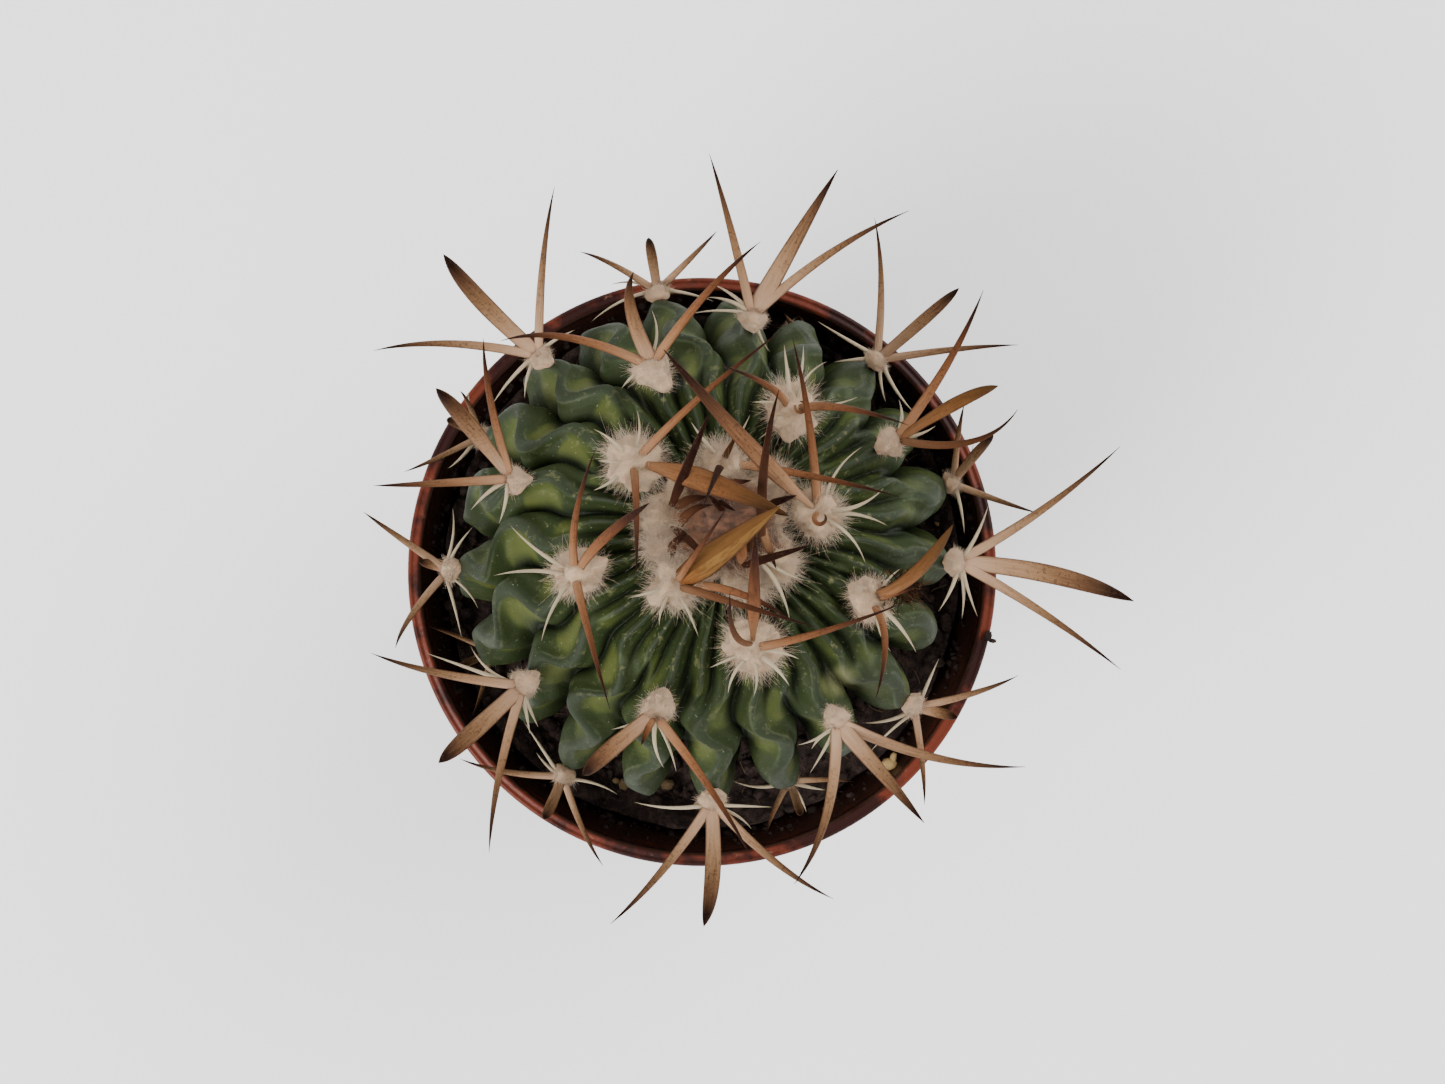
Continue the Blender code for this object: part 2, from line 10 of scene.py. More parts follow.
import bpy
import numpy as np
from bpy.props import FloatProperty, FloatVectorProperty, IntProperty, PointerProperty
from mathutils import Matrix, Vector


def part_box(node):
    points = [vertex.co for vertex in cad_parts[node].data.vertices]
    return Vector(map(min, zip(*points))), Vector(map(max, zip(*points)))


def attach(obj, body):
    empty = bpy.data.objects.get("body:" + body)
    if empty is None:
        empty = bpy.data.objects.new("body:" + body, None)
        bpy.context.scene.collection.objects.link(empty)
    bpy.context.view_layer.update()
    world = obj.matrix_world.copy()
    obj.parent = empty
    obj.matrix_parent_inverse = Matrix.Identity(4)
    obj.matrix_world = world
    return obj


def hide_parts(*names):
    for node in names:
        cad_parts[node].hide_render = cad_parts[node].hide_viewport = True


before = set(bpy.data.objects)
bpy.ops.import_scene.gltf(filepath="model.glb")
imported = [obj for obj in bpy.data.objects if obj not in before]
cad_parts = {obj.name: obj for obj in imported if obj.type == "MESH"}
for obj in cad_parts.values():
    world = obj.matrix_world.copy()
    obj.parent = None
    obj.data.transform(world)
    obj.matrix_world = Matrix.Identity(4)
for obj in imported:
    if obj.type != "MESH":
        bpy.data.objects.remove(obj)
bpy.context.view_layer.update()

bl_info = {
    "name": "Potted Brain Cactus",
    "version": (1, 0, 0),
    "blender": (4, 5, 0),
    "location": "View3D > Sidebar > Cactus",
    "description": "Builds a potted brain cactus from its sizes and colours",
    "category": "Add Mesh",
}

MM = 0.001
UP = np.array([0.0, 0.0, 1.0])
RIM_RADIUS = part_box("pot")[1].x
POT_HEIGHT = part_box("pot")[1].z

# Pot: the places of its profile
COLLAR_BOTTOM = 60 * MM
COLLAR_INSET = 1.3 * MM
SHOULDER_RADIUS = 39.4 * MM
BASE_RADIUS = 29.5 * MM
BASE_ROUND = 1.5 * MM
FLOOR_THICKNESS = 2.0 * MM
DRAIN_HOLES = 6
DRAIN_RADIUS = 3.0 * MM
DRAIN_CIRCLE = 19 * MM
DRAIN_CUT = (-4 * MM, 6 * MM)
DRAIN_COLUMNS = 28
CORNER_EASE = 0.7 * MM
POT_COLUMNS = 200
SHARP_ANGLE = 50.0

# Peat: its level and grid, the slope of the wall that crumbs cling to, and the rings (mm) on which
# crumbs and fibres lie
SOIL_LEVEL = 64 * MM
GAP = 0.3 * MM
PEAT_ROWS = 64
PEAT_COLUMNS = 300
WALL_FOOT = 37.9 * MM
WALL_SLOPE = 0.2
CLING_HEIGHT = 7 * MM
CLIMB_RING = (33 * MM, 38 * MM)
CRUMB_RING = (27.5, 37.3)
FIBRE_RING = (27, 36.5)
FIBRE_EDGE = 37.4 * MM
FIBRE_STATIONS = 6

# Globe: its place, lean and rib families
STEM_CENTRE = np.array([0.4 * MM, 3.1 * MM, 80 * MM])
LEAN = 9.0
LEAN_AZIMUTH = 50.0
LEAN_POLAR = (62.0, 114.0)
BODY_END = 116.0
NECK_RADIUS = 22 * MM
NECK_DEPTH = 7.5 * MM
RIBS = 21
YOUNG_RIBS = 34
NEW_RIBS = 55
RIBS_PER_STEP = 8
YOUNG_RIBS_PER_STEP = 13
NEW_RIBS_PER_STEP = 21
DIVIDE_POLAR = (32.0, 52.0)
DIVIDE_SKEW = (8.0, 10.0)
NEW_POLAR = (16.0, 27.0)
NEW_SKEW = (5.0, 9.0)
FINGER_POLAR = (55.0, 78.0)
YOUNG_DEPTH_SHARE = 0.55
WAVE_LENGTH = 17 * MM
SWING_RUN = (14 * MM, 34 * MM)
CALM_REACH = 3.2 * MM
SKIN_INSET = 0.5 * MM
SKIN_ROWS = 146
SKIN_COLUMNS = RIBS * 30

# A dry corky patch in a furrow: its place as seen from above, and its reach
CORK_PLACE = (18.8 * MM, -14.1 * MM, 0)
CORK_REACH = 3.0 * MM

# Areoles: numbered outwards from the growing point, a golden angle apart
FIRST_AZIMUTH = 262.6
GOLDEN_ANGLE = 137.508
SPREAD = 2.349
SPREAD_POWER = 1.118
FIRST_SPRAY = 4
LAST_SPRAY = 31

# The broad spine of each areole and the two slim ones that flank it. A row holds the heading and the
# level reach (degrees, mm), the bulge to the left (mm), the width (mm), the tone (0 straw, 0.5
# russet, 1 near black) and, where they differ from the rest, the length (mm) and the bow (degrees)
SPINES = {
    4: ((250, 6, 0, 1.1, 1), (348, 22, 0.5, 1.2, 0.6, 24, 16), (60, 4, 0, 0.9, 0.8, 9)),
    5: ((37, 15.5, 0, 4.0, 0.3), (345, 17, 0, 1.2, 0.8), (55, 11, 0, 1.0, 0.7)),
    6: ((135, 27, 0.7, 2.4, 0.25, 32, -30), (100, 21, -0.6, 1.3, 0.5, 25, 14), (200, 2, 0, 1.2, 0.6, 5)),
    7: ((340, 20, 0.6, 3.2, 0.6), (40, 24, 0.5, 1.2, 0.65), (275, 14, 0.3, 1.1, 0.75)),
    8: ((90, 14, 0, 1.8, 0.45), (110, 8, 1.4, 1.1, 0.8), (20, 18, -0.4, 1.2, 0.7)),
    9: ((255, 1, 0, 1.3, 0.7, 4), (160, 9, -0.6, 1.2, 0.6), (345, 13, 0.8, 1.3, 0.65)),
    10: ((40, 13, 0.6, 1.4, 0.65), (75, 15, 0.9, 1.2, 0.6), (290, 16, 0, 1.2, 0.65)),
    11: ((50, 12, -1.1, 1.8, 0.5), (20, 5, 0, 1.1, 0.6, 9), (262, 11, 1.2, 1.2, 0.6)),
    12: ((98, 9, 1.3, 2.2, 0.2), (176, 17, -2.0, 1.4, 0.4), (44, 19, 1.0, 1.4, 0.5)),
    13: ((215, 9, 0, 2.3, 0.2), (246, 3, 0, 1.0, 0.6, 9), (308, 19, 0.3, 1.3, 0.5)),
    14: ((28, 12, 0.6, 1.8, 0.55), (62, 20, -0.9, 1.5, 0.45), (12, 13, -2.4, 1.2, 0.8)),
    15: ((124, 12, 0, 2.3, 0.15), (94, 16, 0.9, 1.3, 0.4), (186, 14, 0, 1.3, 0.3)),
    16: ((312, 14, 0, 2.3, 0.05), (251, 19, 1.9, 1.7, 0.05), (349, 23, -1.7, 1.6, 0.1)),
    17: ((58, 20, 0.2, 2.7, 0.05), (107, 19, -0.3, 1.4, 0.2), (31, 23, 1.3, 1.5, 0.1)),
    18: ((224, 11, 0, 2.4, 0.1), (162, 17, 0.9, 1.4, 0.1), (263, 19, -0.9, 1.4, 0.15)),
    19: ((347, 22, 1.1, 2.6, 0), (37, 25, -1.0, 1.5, 0.05), (325, 24, 0.7, 1.5, 0.05)),
    20: ((133, 15, 0.6, 2.4, 0.1), (80, 20, 0.8, 1.3, 0.1), (183, 19, -1.4, 1.4, 0.1)),
    21: ((266, 13, 0.7, 2.2, 0), (226, 18, 0.9, 1.5, 0.05), (327, 18, -1.2, 1.4, 0.1)),
    22: ((40, 12, 0, 1.7, 0.1), (95, 17, -0.9, 1.2, 0), (2, 17, 0.5, 1.2, 0)),
    23: ((157, 3, 0, 1.3, 0, 6), (137, 11, 0.3, 1.2, 0), (247, 10, -1.0, 1.2, 0)),
    24: ((350, 5, 0, 1.6, 0, 8), (24, 13, -0.7, 1.2, 0), (269, 11, 0.5, 1.1, 0)),
    25: ((98, 5, 0, 1.5, 0), (36, 10, 0.2, 1.1, 0.1), (161, 10, -0.7, 1.1, 0.1)),
    26: ((251, 4, 0, 1.6, 0), (301, 12, -0.7, 1.1, 0), (164, 13, 0.9, 1.1, 0)),
    27: ((56, 7, 0, 1.5, 0), (90, 10, 0, 1.1, 0.1), (337, 11, 0, 1.1, 0)),
    28: ((150, 3, 0, 1.3, 0), (212, 10, 0, 1.0, 0), (100, 5, 0, 1.0, 0)),
    29: ((290, 3, 0, 1.3, 0), (11, 8, 0, 1.0, 0), (236, 6, 0, 1.0, 0)),
    30: ((68, 1, 0, 1.2, 0, 6, 0), (352, 2, 0, 0.9, 0, 8, 0), (144, 2, 0, 0.9, 0, 8, 0)),
    31: ((205, 3, 0, 1.2, 0), (150, 8, 0, 0.9, 0), (262, 8, 0, 0.9, 0)),
}

# Areoles whose broad spine tapers from its root or has a waist, the curled stubs (areole, spine), the
# share of gold on broad spines, and the areole with a dry flower beside it
TAPERING = (4, 12, 16, 17)
WAISTED = (14, 15)
CURLED = {6: 2, 9: 0}
STUB_RADIUS = 0.9 * MM
GOLDEN = {5: 1.0, 7: 0.25, 11: 0.35, 14: 0.35}
FLOWERED = 11
FLOWER_SHREDS = 240

# Outlines of spines: where the belly lies and how late the width falls to the tip (shares of the
# length), and the width at the root as a share of the greatest
NEEDLE = (0.05, 1.5, 0.86)
THIN = (0.05, 1.6, 0.86)
SHRED = (0.1, 2.0, 0.86)
BLADE = (0.5, 5.0, 0.86)
WAISTED_BLADE = (0.5, 5.0, 0.6)
LEAF = (0.45, 3.0, 0.3)
BROAD_LEAF = (0.35, 2.2, 0.7)
YOUNG_BLADE = (0.25, 2.0, 0.6)

# Points along a central spine, an ivory one, a young one of the crown, and a shred of the flower
SPINE_STATIONS = 28
IVORY_STATIONS = 14
YOUNG_STATIONS = 22
SHRED_STATIONS = 6

# Heading and level reach (degrees, mm) of the thin ivory spines at the edge of each areole
IVORY = {
    3: ((298, 9), (335, 6.6)),
    4: ((60, 7.5), (125, 6.7)),
    5: ((196, 6), (249, 5.6), (294, 7.3)),
    6: ((54, 11), (352, 9.7), (317, 9.3), (21, 9.6)),
    7: ((139, 7), (88, 7), (174, 4.7), (212, 6.2)),
    8: ((244, 6.6), (273, 6.5), (315, 7), (346, 6.4), (207, 5.9)),
    9: ((93, 9), (77, 9.2), (53, 8.2), (13, 9.3), (167, 5), (222, 5.6)),
    10: ((145, 10.7), (181, 10.8), (241, 9.8)),
    11: ((313, 9.6), (293, 7.4), (45, 5.6)),
    12: ((90, 8), (54, 10), (214, 4.7)),
    13: ((203, 6.2), (230, 8), (278, 7.5), (288, 8.5)),
    14: ((80, 6), (357, 6), (22, 6.5), (50, 6)),
    15: ((213, 7), (250, 6)),
    16: ((248, 8), (233, 5), (216, 6)),
    17: ((151, 6.8), (134, 7.3), (300, 5.1), (171, 8.3)),
    18: ((167, 14.5), (273, 6.8), (149, 9), (284, 6)),
    19: ((54, 9.4), (297, 8.4), (282, 8), (256, 7)),
    20: ((42, 6), (219, 9.2), (246, 5.8)),
    21: ((188, 10.5), (348, 8.3), (320, 7)),
    22: ((138, 9.8), (314, 9), (288, 5.6), (177, 5.6)),
    23: ((94, 8.6), (66, 6.6), (274, 9.2), (303, 6.2)),
    24: ((234, 8.6), (55, 7.5), (203, 7)),
    25: ((358, 7.8), (196, 10.1), (164, 7.1)),
    26: ((332, 7.9), (134, 8.8), (146, 4.9)),
    27: ((292, 7.4), (56, 7.3)),
    28: ((217, 6.8), (112, 7.4)),
    29: ((188, 8), (338, 5.9), (297, 6.1)),
}

# The wool: sizes of the crown's hollow, rows and columns of a pad, and the clumps round the hollow,
# each with its place from the growing point and its radius (mm), and the share of aged felt in it
HOLLOW_SIZES = (7.8 * MM, 8.2 * MM, 1.5 * MM)
PAD_GRID = (26, 52)
CLUMPS = (
    (-8.2, 1.0, 2.3, 0.7),
    (-7.9, -2.8, 1.9, 0.5),
    (6.4, -4.8, 2.7, 0.2),
    (3.2, -7.6, 2.0, 0.4),
    (6.4, 5.8, 2.0, 0),
)

# Spines of the crown itself: foot and tip from the growing point (mm), the tip's height over it
# (mm), the bulge to the left (mm), the width (mm) and the tone
CROWN_SPINES = (
    (-6.6, 2.2, -2.0, 3.6, 4.5, 0.4, 1.4, 0.88),
    (-7.1, 0.0, -1.0, -6.2, 4.0, 0.5, 1.2, 0.95),
    (-6.9, -4.4, -4.8, -1.0, 3.6, 0.7, 1.3, 0.88),
    (-6.0, -0.4, -1.4, 2.6, 4.2, 0.9, 1.3, 0.85),
    (3.2, -3.4, 4.2, 0.4, 3.6, 0.4, 1.5, 0.85),
    (2.2, -5.1, 2.1, 0.3, 6.0, 0, 1.7, 0.5),
    (4.2, 1.2, 6.6, -5.6, 4.2, 0, 1.4, 0.2),
    (0.0, 1.8, -2.1, 3.9, 4.6, 0, 1.0, 1),
    (5.4, 2.6, 9.2, 3.8, 5.0, 0, 1.1, 1),
    (6.2, 2.1, 8.2, 1.2, 5.0, 0, 0.9, 1),
    (-6.9, 2.3, -1.7, 14.0, 14.0, 0, 1.4, 1),
    (1.9, -5.3, 10.9, -2.5, 7.0, 0, 1.2, 1),
    (4.9, -2.8, 6.6, 16.4, 17.0, 0.9, 1.4, 0.9),
    (-4.7, -7.5, 8.2, -11.8, 6.5, 1.0, 1.2, 0.6),
    (-1.0, 5.2, 3.4, 5.7, 4.4, 0, 1.2, 0.8),
    (-1.0, 3.2, 1.4, 1.8, 5.4, 0.0, 0.8, 1),
)

# Grains seen in the photo: place (mm), size (mm) and lightness. The last two are crumbs on the lip
GRAINS = (
    (27.3, -28.0, 69.6, 1.2, 1.0),
    (27.9, -27.2, 69.9, 0.8, 0.9),
    (-12.8, -31.0, 64.8, 0.8, 0.3),
    (-11.5, -31.5, 64.9, 0.9, 0.22),
    (-10.5, -31.1, 64.7, 0.6, 0.3),
    (-5.2, -31.6, 64.7, 0.8, 0.2),
    (41.2, -9.2, 74.3, 0.8, 0.0),
    (41.9, -9.9, 74.1, 0.6, 0.0),
)

# Lights of the stage: name, place (m), width (m), and the setting that holds the power
LAMPS = (
    ("key", (-0.50, -0.38, 0.62), 0.45, "key_power"),
    ("fill", (0.55, 0.40, 0.60), 0.7, "fill_power"),
)
LAMP_AIM = np.array([0, 0, 0.08])
CAMERA_PLACE = (2.95 * MM, 4.32 * MM)
FLOOR_REACH = 2.0


def smoothstep(x, low, high):
    """0 below low, 1 above high, and t*t*(3-2t) between them."""
    t = np.clip((x - low) / (high - low), 0, 1)
    return t * t * (3 - 2 * t)


def between(share, first, second):
    """A blend: first where the share is 0 and second where it is 1."""
    return (1 - share) * first + share * second


def unit(vectors):
    """Vectors scaled to a length of 1."""
    return vectors / np.linalg.norm(vectors, axis=-1, keepdims=True)


def level_direction(heading):
    """The level direction of an azimuth in degrees."""
    return np.array([math.cos(math.radians(heading)), math.sin(math.radians(heading)), 0.0])


def round_axis(radius, turn, height):
    """Points at a radius from the upright axis, a turn about it and a height."""
    return np.stack(np.broadcast_arrays(radius * np.cos(turn), radius * np.sin(turn), height), axis=-1)


def lattice_noise(points, spacing, seed):
    """Smooth noise from -1 to 1: random values on a cubic lattice, blended by t*t*(3-2t) between
    the eight corners of the cell that a point lies in."""
    place = np.asarray(points, float) / spacing + 512.0
    cell = np.floor(place).astype(np.int64)
    share = place - cell
    share = share * share * (3 - 2 * share)
    total = np.zeros(place.shape[:-1])
    for corner in itertools.product((0, 1), repeat=3):
        at = cell + np.array(corner)
        mixed = at[..., 0] * 73856093 ^ at[..., 1] * 19349663 ^ at[..., 2] * 83492791 ^ seed * 2654435
        mixed = (mixed ^ (mixed >> 13)) * 1274126177
        value = ((mixed ^ (mixed >> 16)) & 0xFFFF) / 32767.5 - 1
        total += value * np.prod(np.where(np.array(corner) == 1, share, 1 - share), axis=-1)
    return total


def rough_noise(points, spacing, octaves, seed):
    """Octaves of lattice noise, each half as strong and half as wide as the one before."""
    return sum(0.5 ** i * lattice_noise(points, spacing * 0.5 ** i, seed + i) for i in range(octaves))


class Parts:
    """Points, faces and point attributes that are gathered into one mesh."""

    def __init__(self):
        self.points = []
        self.faces = []
        self.values = {}
        self.count = 0

    def add(self, points, faces, **values):
        """Add points of any grid shape, arrays of faces that index them, and a value for each point."""
        flat = points.reshape(-1, 3)
        self.points.append(flat)
        self.faces += [face_array + self.count for face_array in faces]
        for name, value in values.items():
            full = np.broadcast_to(value, points.shape[:-1]).ravel()
            self.values.setdefault(name, []).append(full)
        self.count += len(flat)

    def build(self, name, material):
        """One smooth-shaded mesh object at the origin, with its material."""
        points = np.concatenate(self.points).astype(np.float32)
        sizes = np.concatenate([np.full(len(f), f.shape[1]) for f in self.faces])
        corners = np.concatenate([f.ravel() for f in self.faces])
        mesh = bpy.data.meshes.new(name)
        mesh.vertices.add(len(points))
        mesh.vertices.foreach_set("co", points.ravel())
        mesh.loops.add(len(corners))
        mesh.loops.foreach_set("vertex_index", corners.astype(np.int32))
        mesh.polygons.add(len(sizes))
        starts = np.concatenate([[0], np.cumsum(sizes)[:-1]])
        mesh.polygons.foreach_set("loop_start", starts.astype(np.int32))
        mesh.update(calc_edges=True)
        for key, value in self.values.items():
            layer = mesh.attributes.new(key, "FLOAT", "POINT")
            layer.data.foreach_set("value", np.concatenate(value).astype(np.float32))
        mesh.shade_smooth()
        mesh.materials.append(material)
        obj = bpy.data.objects.new(name, mesh)
        bpy.context.scene.collection.objects.link(obj)
        return obj


def ring_faces(rows, columns):
    """Quads of a grid of rows whose columns close on themselves."""
    first = np.arange(rows - 1)[:, None] * columns + np.arange(columns)[None, :]
    beside = np.arange(rows - 1)[:, None] * columns + (np.arange(columns)[None, :] + 1) % columns
    return np.stack([first, first + columns, beside + columns, beside], axis=-1).reshape(-1, 4)


def closed_skin(points):
    """Faces of a closed skin: rings of points whose first and last rings are single points."""
    rows, columns = points.shape[:2]
    side = np.arange(columns)
    beside = (side + 1) % columns
    top = np.full(columns, rows * columns)
    bottom = top + 1
    last = (rows - 1) * columns
    caps = [np.stack([top, side, beside], axis=-1), np.stack([bottom, last + beside, last + side], axis=-1)]
    return [ring_faces(rows, columns), *caps]


def unit_ball(rows, columns):
    """Points of a ball of radius 1, its rings first and then its two poles, and its faces."""
    fall = np.linspace(0, math.pi, rows + 2)[1:-1, None]
    turn = math.tau * np.arange(columns) / columns
    rings = round_axis(np.sin(fall), turn, np.cos(fall))
    return np.concatenate([rings.reshape(-1, 3), [[0, 0, 1], [0, 0, -1]]]), closed_skin(rings)


def tube_faces(tubes, stations, sides):
    """Faces of many tubes at once: quads along each, and a flat cap at either end."""
    one = ring_faces(stations, sides)
    shift = np.arange(tubes) * stations * sides
    walls = (one[None] + shift[:, None, None]).reshape(-1, 4)
    root = np.arange(sides)[None, :] + shift[:, None]
    tip = np.arange(sides)[::-1][None, :] + shift[:, None] + (stations - 1) * sides
    return [walls, root, tip]


def loft(paths, flat, widths, thicknesses, sides, cup=0.0):
    """Tubes along paths: at each station an ellipse with one axis along flat and the other at right
    angles to it and to the path. cup bends the section down at its edges by a share of its width."""
    tangent = np.gradient(paths, axis=1)
    face = np.cross(tangent, flat[:, None, :])
    face /= np.maximum(np.linalg.norm(face, axis=-1), 1e-9)[..., None]
    turn = math.tau * np.arange(sides) / sides
    across = np.cos(turn)
    upward = np.sin(turn)
    lift = 0.5 * thicknesses[..., None] * upward - cup * widths[..., None] * across ** 2
    points = (paths[:, :, None, :]
              + (0.5 * widths[..., None] * across)[..., None] * flat[:, None, None, :]
              + lift[..., None] * face[:, :, None, :])
    return points, across


def areole_place(k):
    """Azimuth and polar angle of areole k in the globe's own frame: a golden angle a step, and a
    polar angle that grows as a power of k."""
    return FIRST_AZIMUTH + GOLDEN_ANGLE * k, SPREAD * (k + 0.5) ** SPREAD_POWER


def spiral_turn(polar, ribs, ribs_per_step):
    """How far a family of ribs has turned at a polar angle, so that each rib passes its areoles."""
    number = np.maximum(polar / SPREAD, 0) ** (1 / SPREAD_POWER) - 0.5
    return (GOLDEN_ANGLE - 360 * ribs_per_step / ribs) * number


def rib_arch(rib):
    """A rib's section, 1 on the crest and 0 in the furrows: a power of the cosine."""
    return np.abs(np.cos(np.pi * rib)) ** 0.55


def finger_arch(rib, side):
    """The section of a low rib that stands free as a finger: 1 on its round crest, steep sides, and 0
    over the gap, which is widest on the -Y side."""
    offset = np.abs(rib - np.round(rib))
    reach = 0.45 - 0.09 * smoothstep(-np.sin(side + 0.5), 0, 0.8)
    return (1 - np.minimum(offset / reach, 1) ** 3.2) ** 0.7


def crest_cord(rib):
    """A flat-topped bell on the crest of each rib: the cord of thick skin that runs along it."""
    offset = rib - np.round(rib)
    return np.exp(-(offset / 0.15) ** 4)


def step_wave(phase):
    """A sine with flattened crests, which runs straight and then steps across."""
    return np.tanh(1.5 * np.sin(phase)) / math.tanh(1.5)


def near_areoles(rib, polar, reach, radius):
    """Bells of the given reach round the areoles, in lengths along and across the ribs."""
    total = np.zeros(np.broadcast(rib, polar).shape)
    for k in range(LAST_SPRAY + 1):
        areole_polar = areole_place(k)[1]
        across = (rib - RIBS_PER_STEP * k + RIBS / 2) % RIBS - RIBS / 2
        across = across * math.tau * radius / RIBS * math.sin(math.radians(areole_polar))
        along = np.radians(polar - areole_polar) * radius
        total += np.exp(-(across ** 2 + along ** 2) / (2 * reach ** 2))
    return np.minimum(total, 1)


def lean_share(polar):
    """How much of the lean a polar angle takes: all of it on top, none at the foot."""
    return 1 - smoothstep(polar, *LEAN_POLAR)


def lean_turn(points, amount):
    """Turn points about the globe's centre towards its lean, by a share of it for each point."""
    angle = np.radians(LEAN) * amount
    heading = level_direction(LEAN_AZIMUTH)[:2]
    across = points[..., 0] * heading[0] + points[..., 1] * heading[1]
    turned_across = across * np.cos(angle) + points[..., 2] * np.sin(angle)
    height = points[..., 2] * np.cos(angle) - across * np.sin(angle)
    shift = (turned_across - across)[..., None] * heading
    return np.concatenate([points[..., :2] + shift, height[..., None]], axis=-1)


def rib_families(rib, polar):
    """Section heights of the ribs: new ones at the growing point run into young ones and those into
    old ones, by blends of the three families, sooner on the -X side. Gives how far each point's rib
    has turned, its azimuth, and its arch and cord."""
    turned = 360 / RIBS * rib + spiral_turn(polar, RIBS, RIBS_PER_STEP)
    side = np.radians(turned + FIRST_AZIMUTH)
    young = (turned - spiral_turn(polar, YOUNG_RIBS, YOUNG_RIBS_PER_STEP)) * YOUNG_RIBS / 360
    new = (turned - spiral_turn(polar, NEW_RIBS, NEW_RIBS_PER_STEP)) * NEW_RIBS / 360
    aged, grown = (smoothstep(polar, *(place + shift * np.cos(side) for place, shift in zip(start, skew)))
                   for start, skew in ((DIVIDE_POLAR, DIVIDE_SKEW), (NEW_POLAR, NEW_SKEW)))
    inner_arch = between(grown, rib_arch(new), rib_arch(young))
    inner_cord = between(grown, crest_cord(new), crest_cord(young))
    low_arch = between(smoothstep(polar, *FINGER_POLAR), rib_arch(rib), finger_arch(rib, side))
    arch = between(aged, inner_arch, low_arch) ** (1 + 3 * aged * (1 - aged))
    return turned, side, arch, between(aged, inner_cord, crest_cord(rib))


def crest_phase(polar, side, radius):
    """Phase of the crests' swing, which runs on with the distance from the growing point."""
    run = np.radians(polar) * radius
    return math.tau * run / WAVE_LENGTH + 1.9 * np.sin(side + 0.6) + 1.3 * np.sin(3 * side)


def broad_flank(rib, polar, side, radius):
    """1 in the middle of a rib's broad flank, on the side that its crest swings away from."""
    offset = rib - np.round(rib)
    slope = -2 * offset * step_wave(crest_phase(polar, side, radius) + 0.7)
    return smoothstep(slope, 0.05, 0.5) * (1 - smoothstep(np.abs(offset), 0.36, 0.5))


def stem_surface(rib, polar, stem):
    """Points of the ribbed globe, and its crest height and cord at each.

    A sphere, flattened along its axis and leaning, whose radius is drawn in between the crests.
    Crests swing from side to side as they run outwards, more on the -X side, and straighten and
    swell at an areole.
    """
    turned, side, arch, cord = rib_families(rib, polar)
    run = np.radians(polar) * stem.radius
    calm = 1 - near_areoles(rib, polar, CALM_REACH, stem.radius)
    fingers = smoothstep(polar, *FINGER_POLAR)
    cord_share = stem.cord_share * (1 - (0.5 + 0.35 * np.cos(side)) * fingers)
    crest = between(cord_share, arch, cord)
    swing = smoothstep(run, *SWING_RUN) * (0.62 - 0.38 * np.cos(side)) * calm * (1 - 0.65 * fingers)
    phase = crest_phase(polar, side, stem.radius)
    shift = stem.wave_width * swing * (0.3 * step_wave(phase) + 0.95 * arch * step_wave(phase + 0.7))
    azimuth = np.radians(FIRST_AZIMUTH + turned + shift)
    depth = stem.rib_depth * (YOUNG_DEPTH_SHARE * smoothstep(polar, 0, 22)
                              + (1 - YOUNG_DEPTH_SHARE) * smoothstep(polar, 25, 75) + 0.45 * fingers)
    depth = depth * (1 - 0.4 * smoothstep(polar, 96, BODY_END))
    swell = 0.8 * MM * near_areoles(rib, polar, 4 * MM, stem.radius)
    lumps = 0.5 * MM * np.sin(2 * side + 0.13 * polar) * smoothstep(polar, 30, 70)
    radius = stem.radius - SKIN_INSET - depth * (1 - crest) + (swell + lumps) * arch
    points = round_axis(np.sin(np.radians(polar)) * radius, azimuth,
                        stem.flatness * np.cos(np.radians(polar)) * radius)
    return lean_turn(points, lean_share(polar)) + STEM_CENTRE, arch, cord


def areole_frame(k, stem):
    """Where areole k sits on its crest, and the directions out of, along and across the rib."""
    polar = areole_place(k)[1]
    rib = float(RIBS_PER_STEP * k % RIBS)
    seat, further = stem_surface(np.array([rib, rib]), np.array([polar, polar + 1]), stem)[0]
    azimuth = math.radians(FIRST_AZIMUTH + 360 / RIBS * rib + spiral_turn(polar, RIBS, RIBS_PER_STEP))
    slope = math.radians(polar)
    normal = np.array([[math.sin(slope) * math.cos(azimuth), math.sin(slope) * math.sin(azimuth),
                        math.cos(slope) / stem.flatness]])
    out = unit(lean_turn(normal, lean_share(polar))[0])
    along = further - seat
    along = unit(along - out * (along @ out))
    return seat, out, along, np.cross(out, along)


def pad_radius(k):
    """Felt pads fill out as an areole opens, and shrink again as it ages."""
    filling = 0.25 * float(smoothstep(k, 4, 6))
    ageing = 0.375 * float(smoothstep(k, 8, 16)) + 0.21 * float(smoothstep(k, 24, 30))
    return 2.4 * MM * (1 + filling - ageing)


def pad_seat(k, stem):
    """The frame of areole k with its seat raised to the middle of its pad."""
    seat, out, along, across = areole_frame(k, stem)
    return seat + out * 0.74 * pad_radius(k), out, along, across


class Socket:
    """A value in a shader. Sums, differences and products of it add Math nodes."""

    def __init__(self, paint, output):
        self.paint = paint
        self.output = output

    def math(self, operation, first, second):
        return self.paint.node("ShaderNodeMath", {"operation": operation}, {0: first, 1: second})

    def __add__(self, other):
        return self.math("ADD", self, other)

    __radd__ = __add__

    def __sub__(self, other):
        return self.math("SUBTRACT", self, other)

    def __rsub__(self, other):
        return self.math("SUBTRACT", other, self)

    def __mul__(self, other):
        return self.math("MULTIPLY", self, other)

    __rmul__ = __mul__


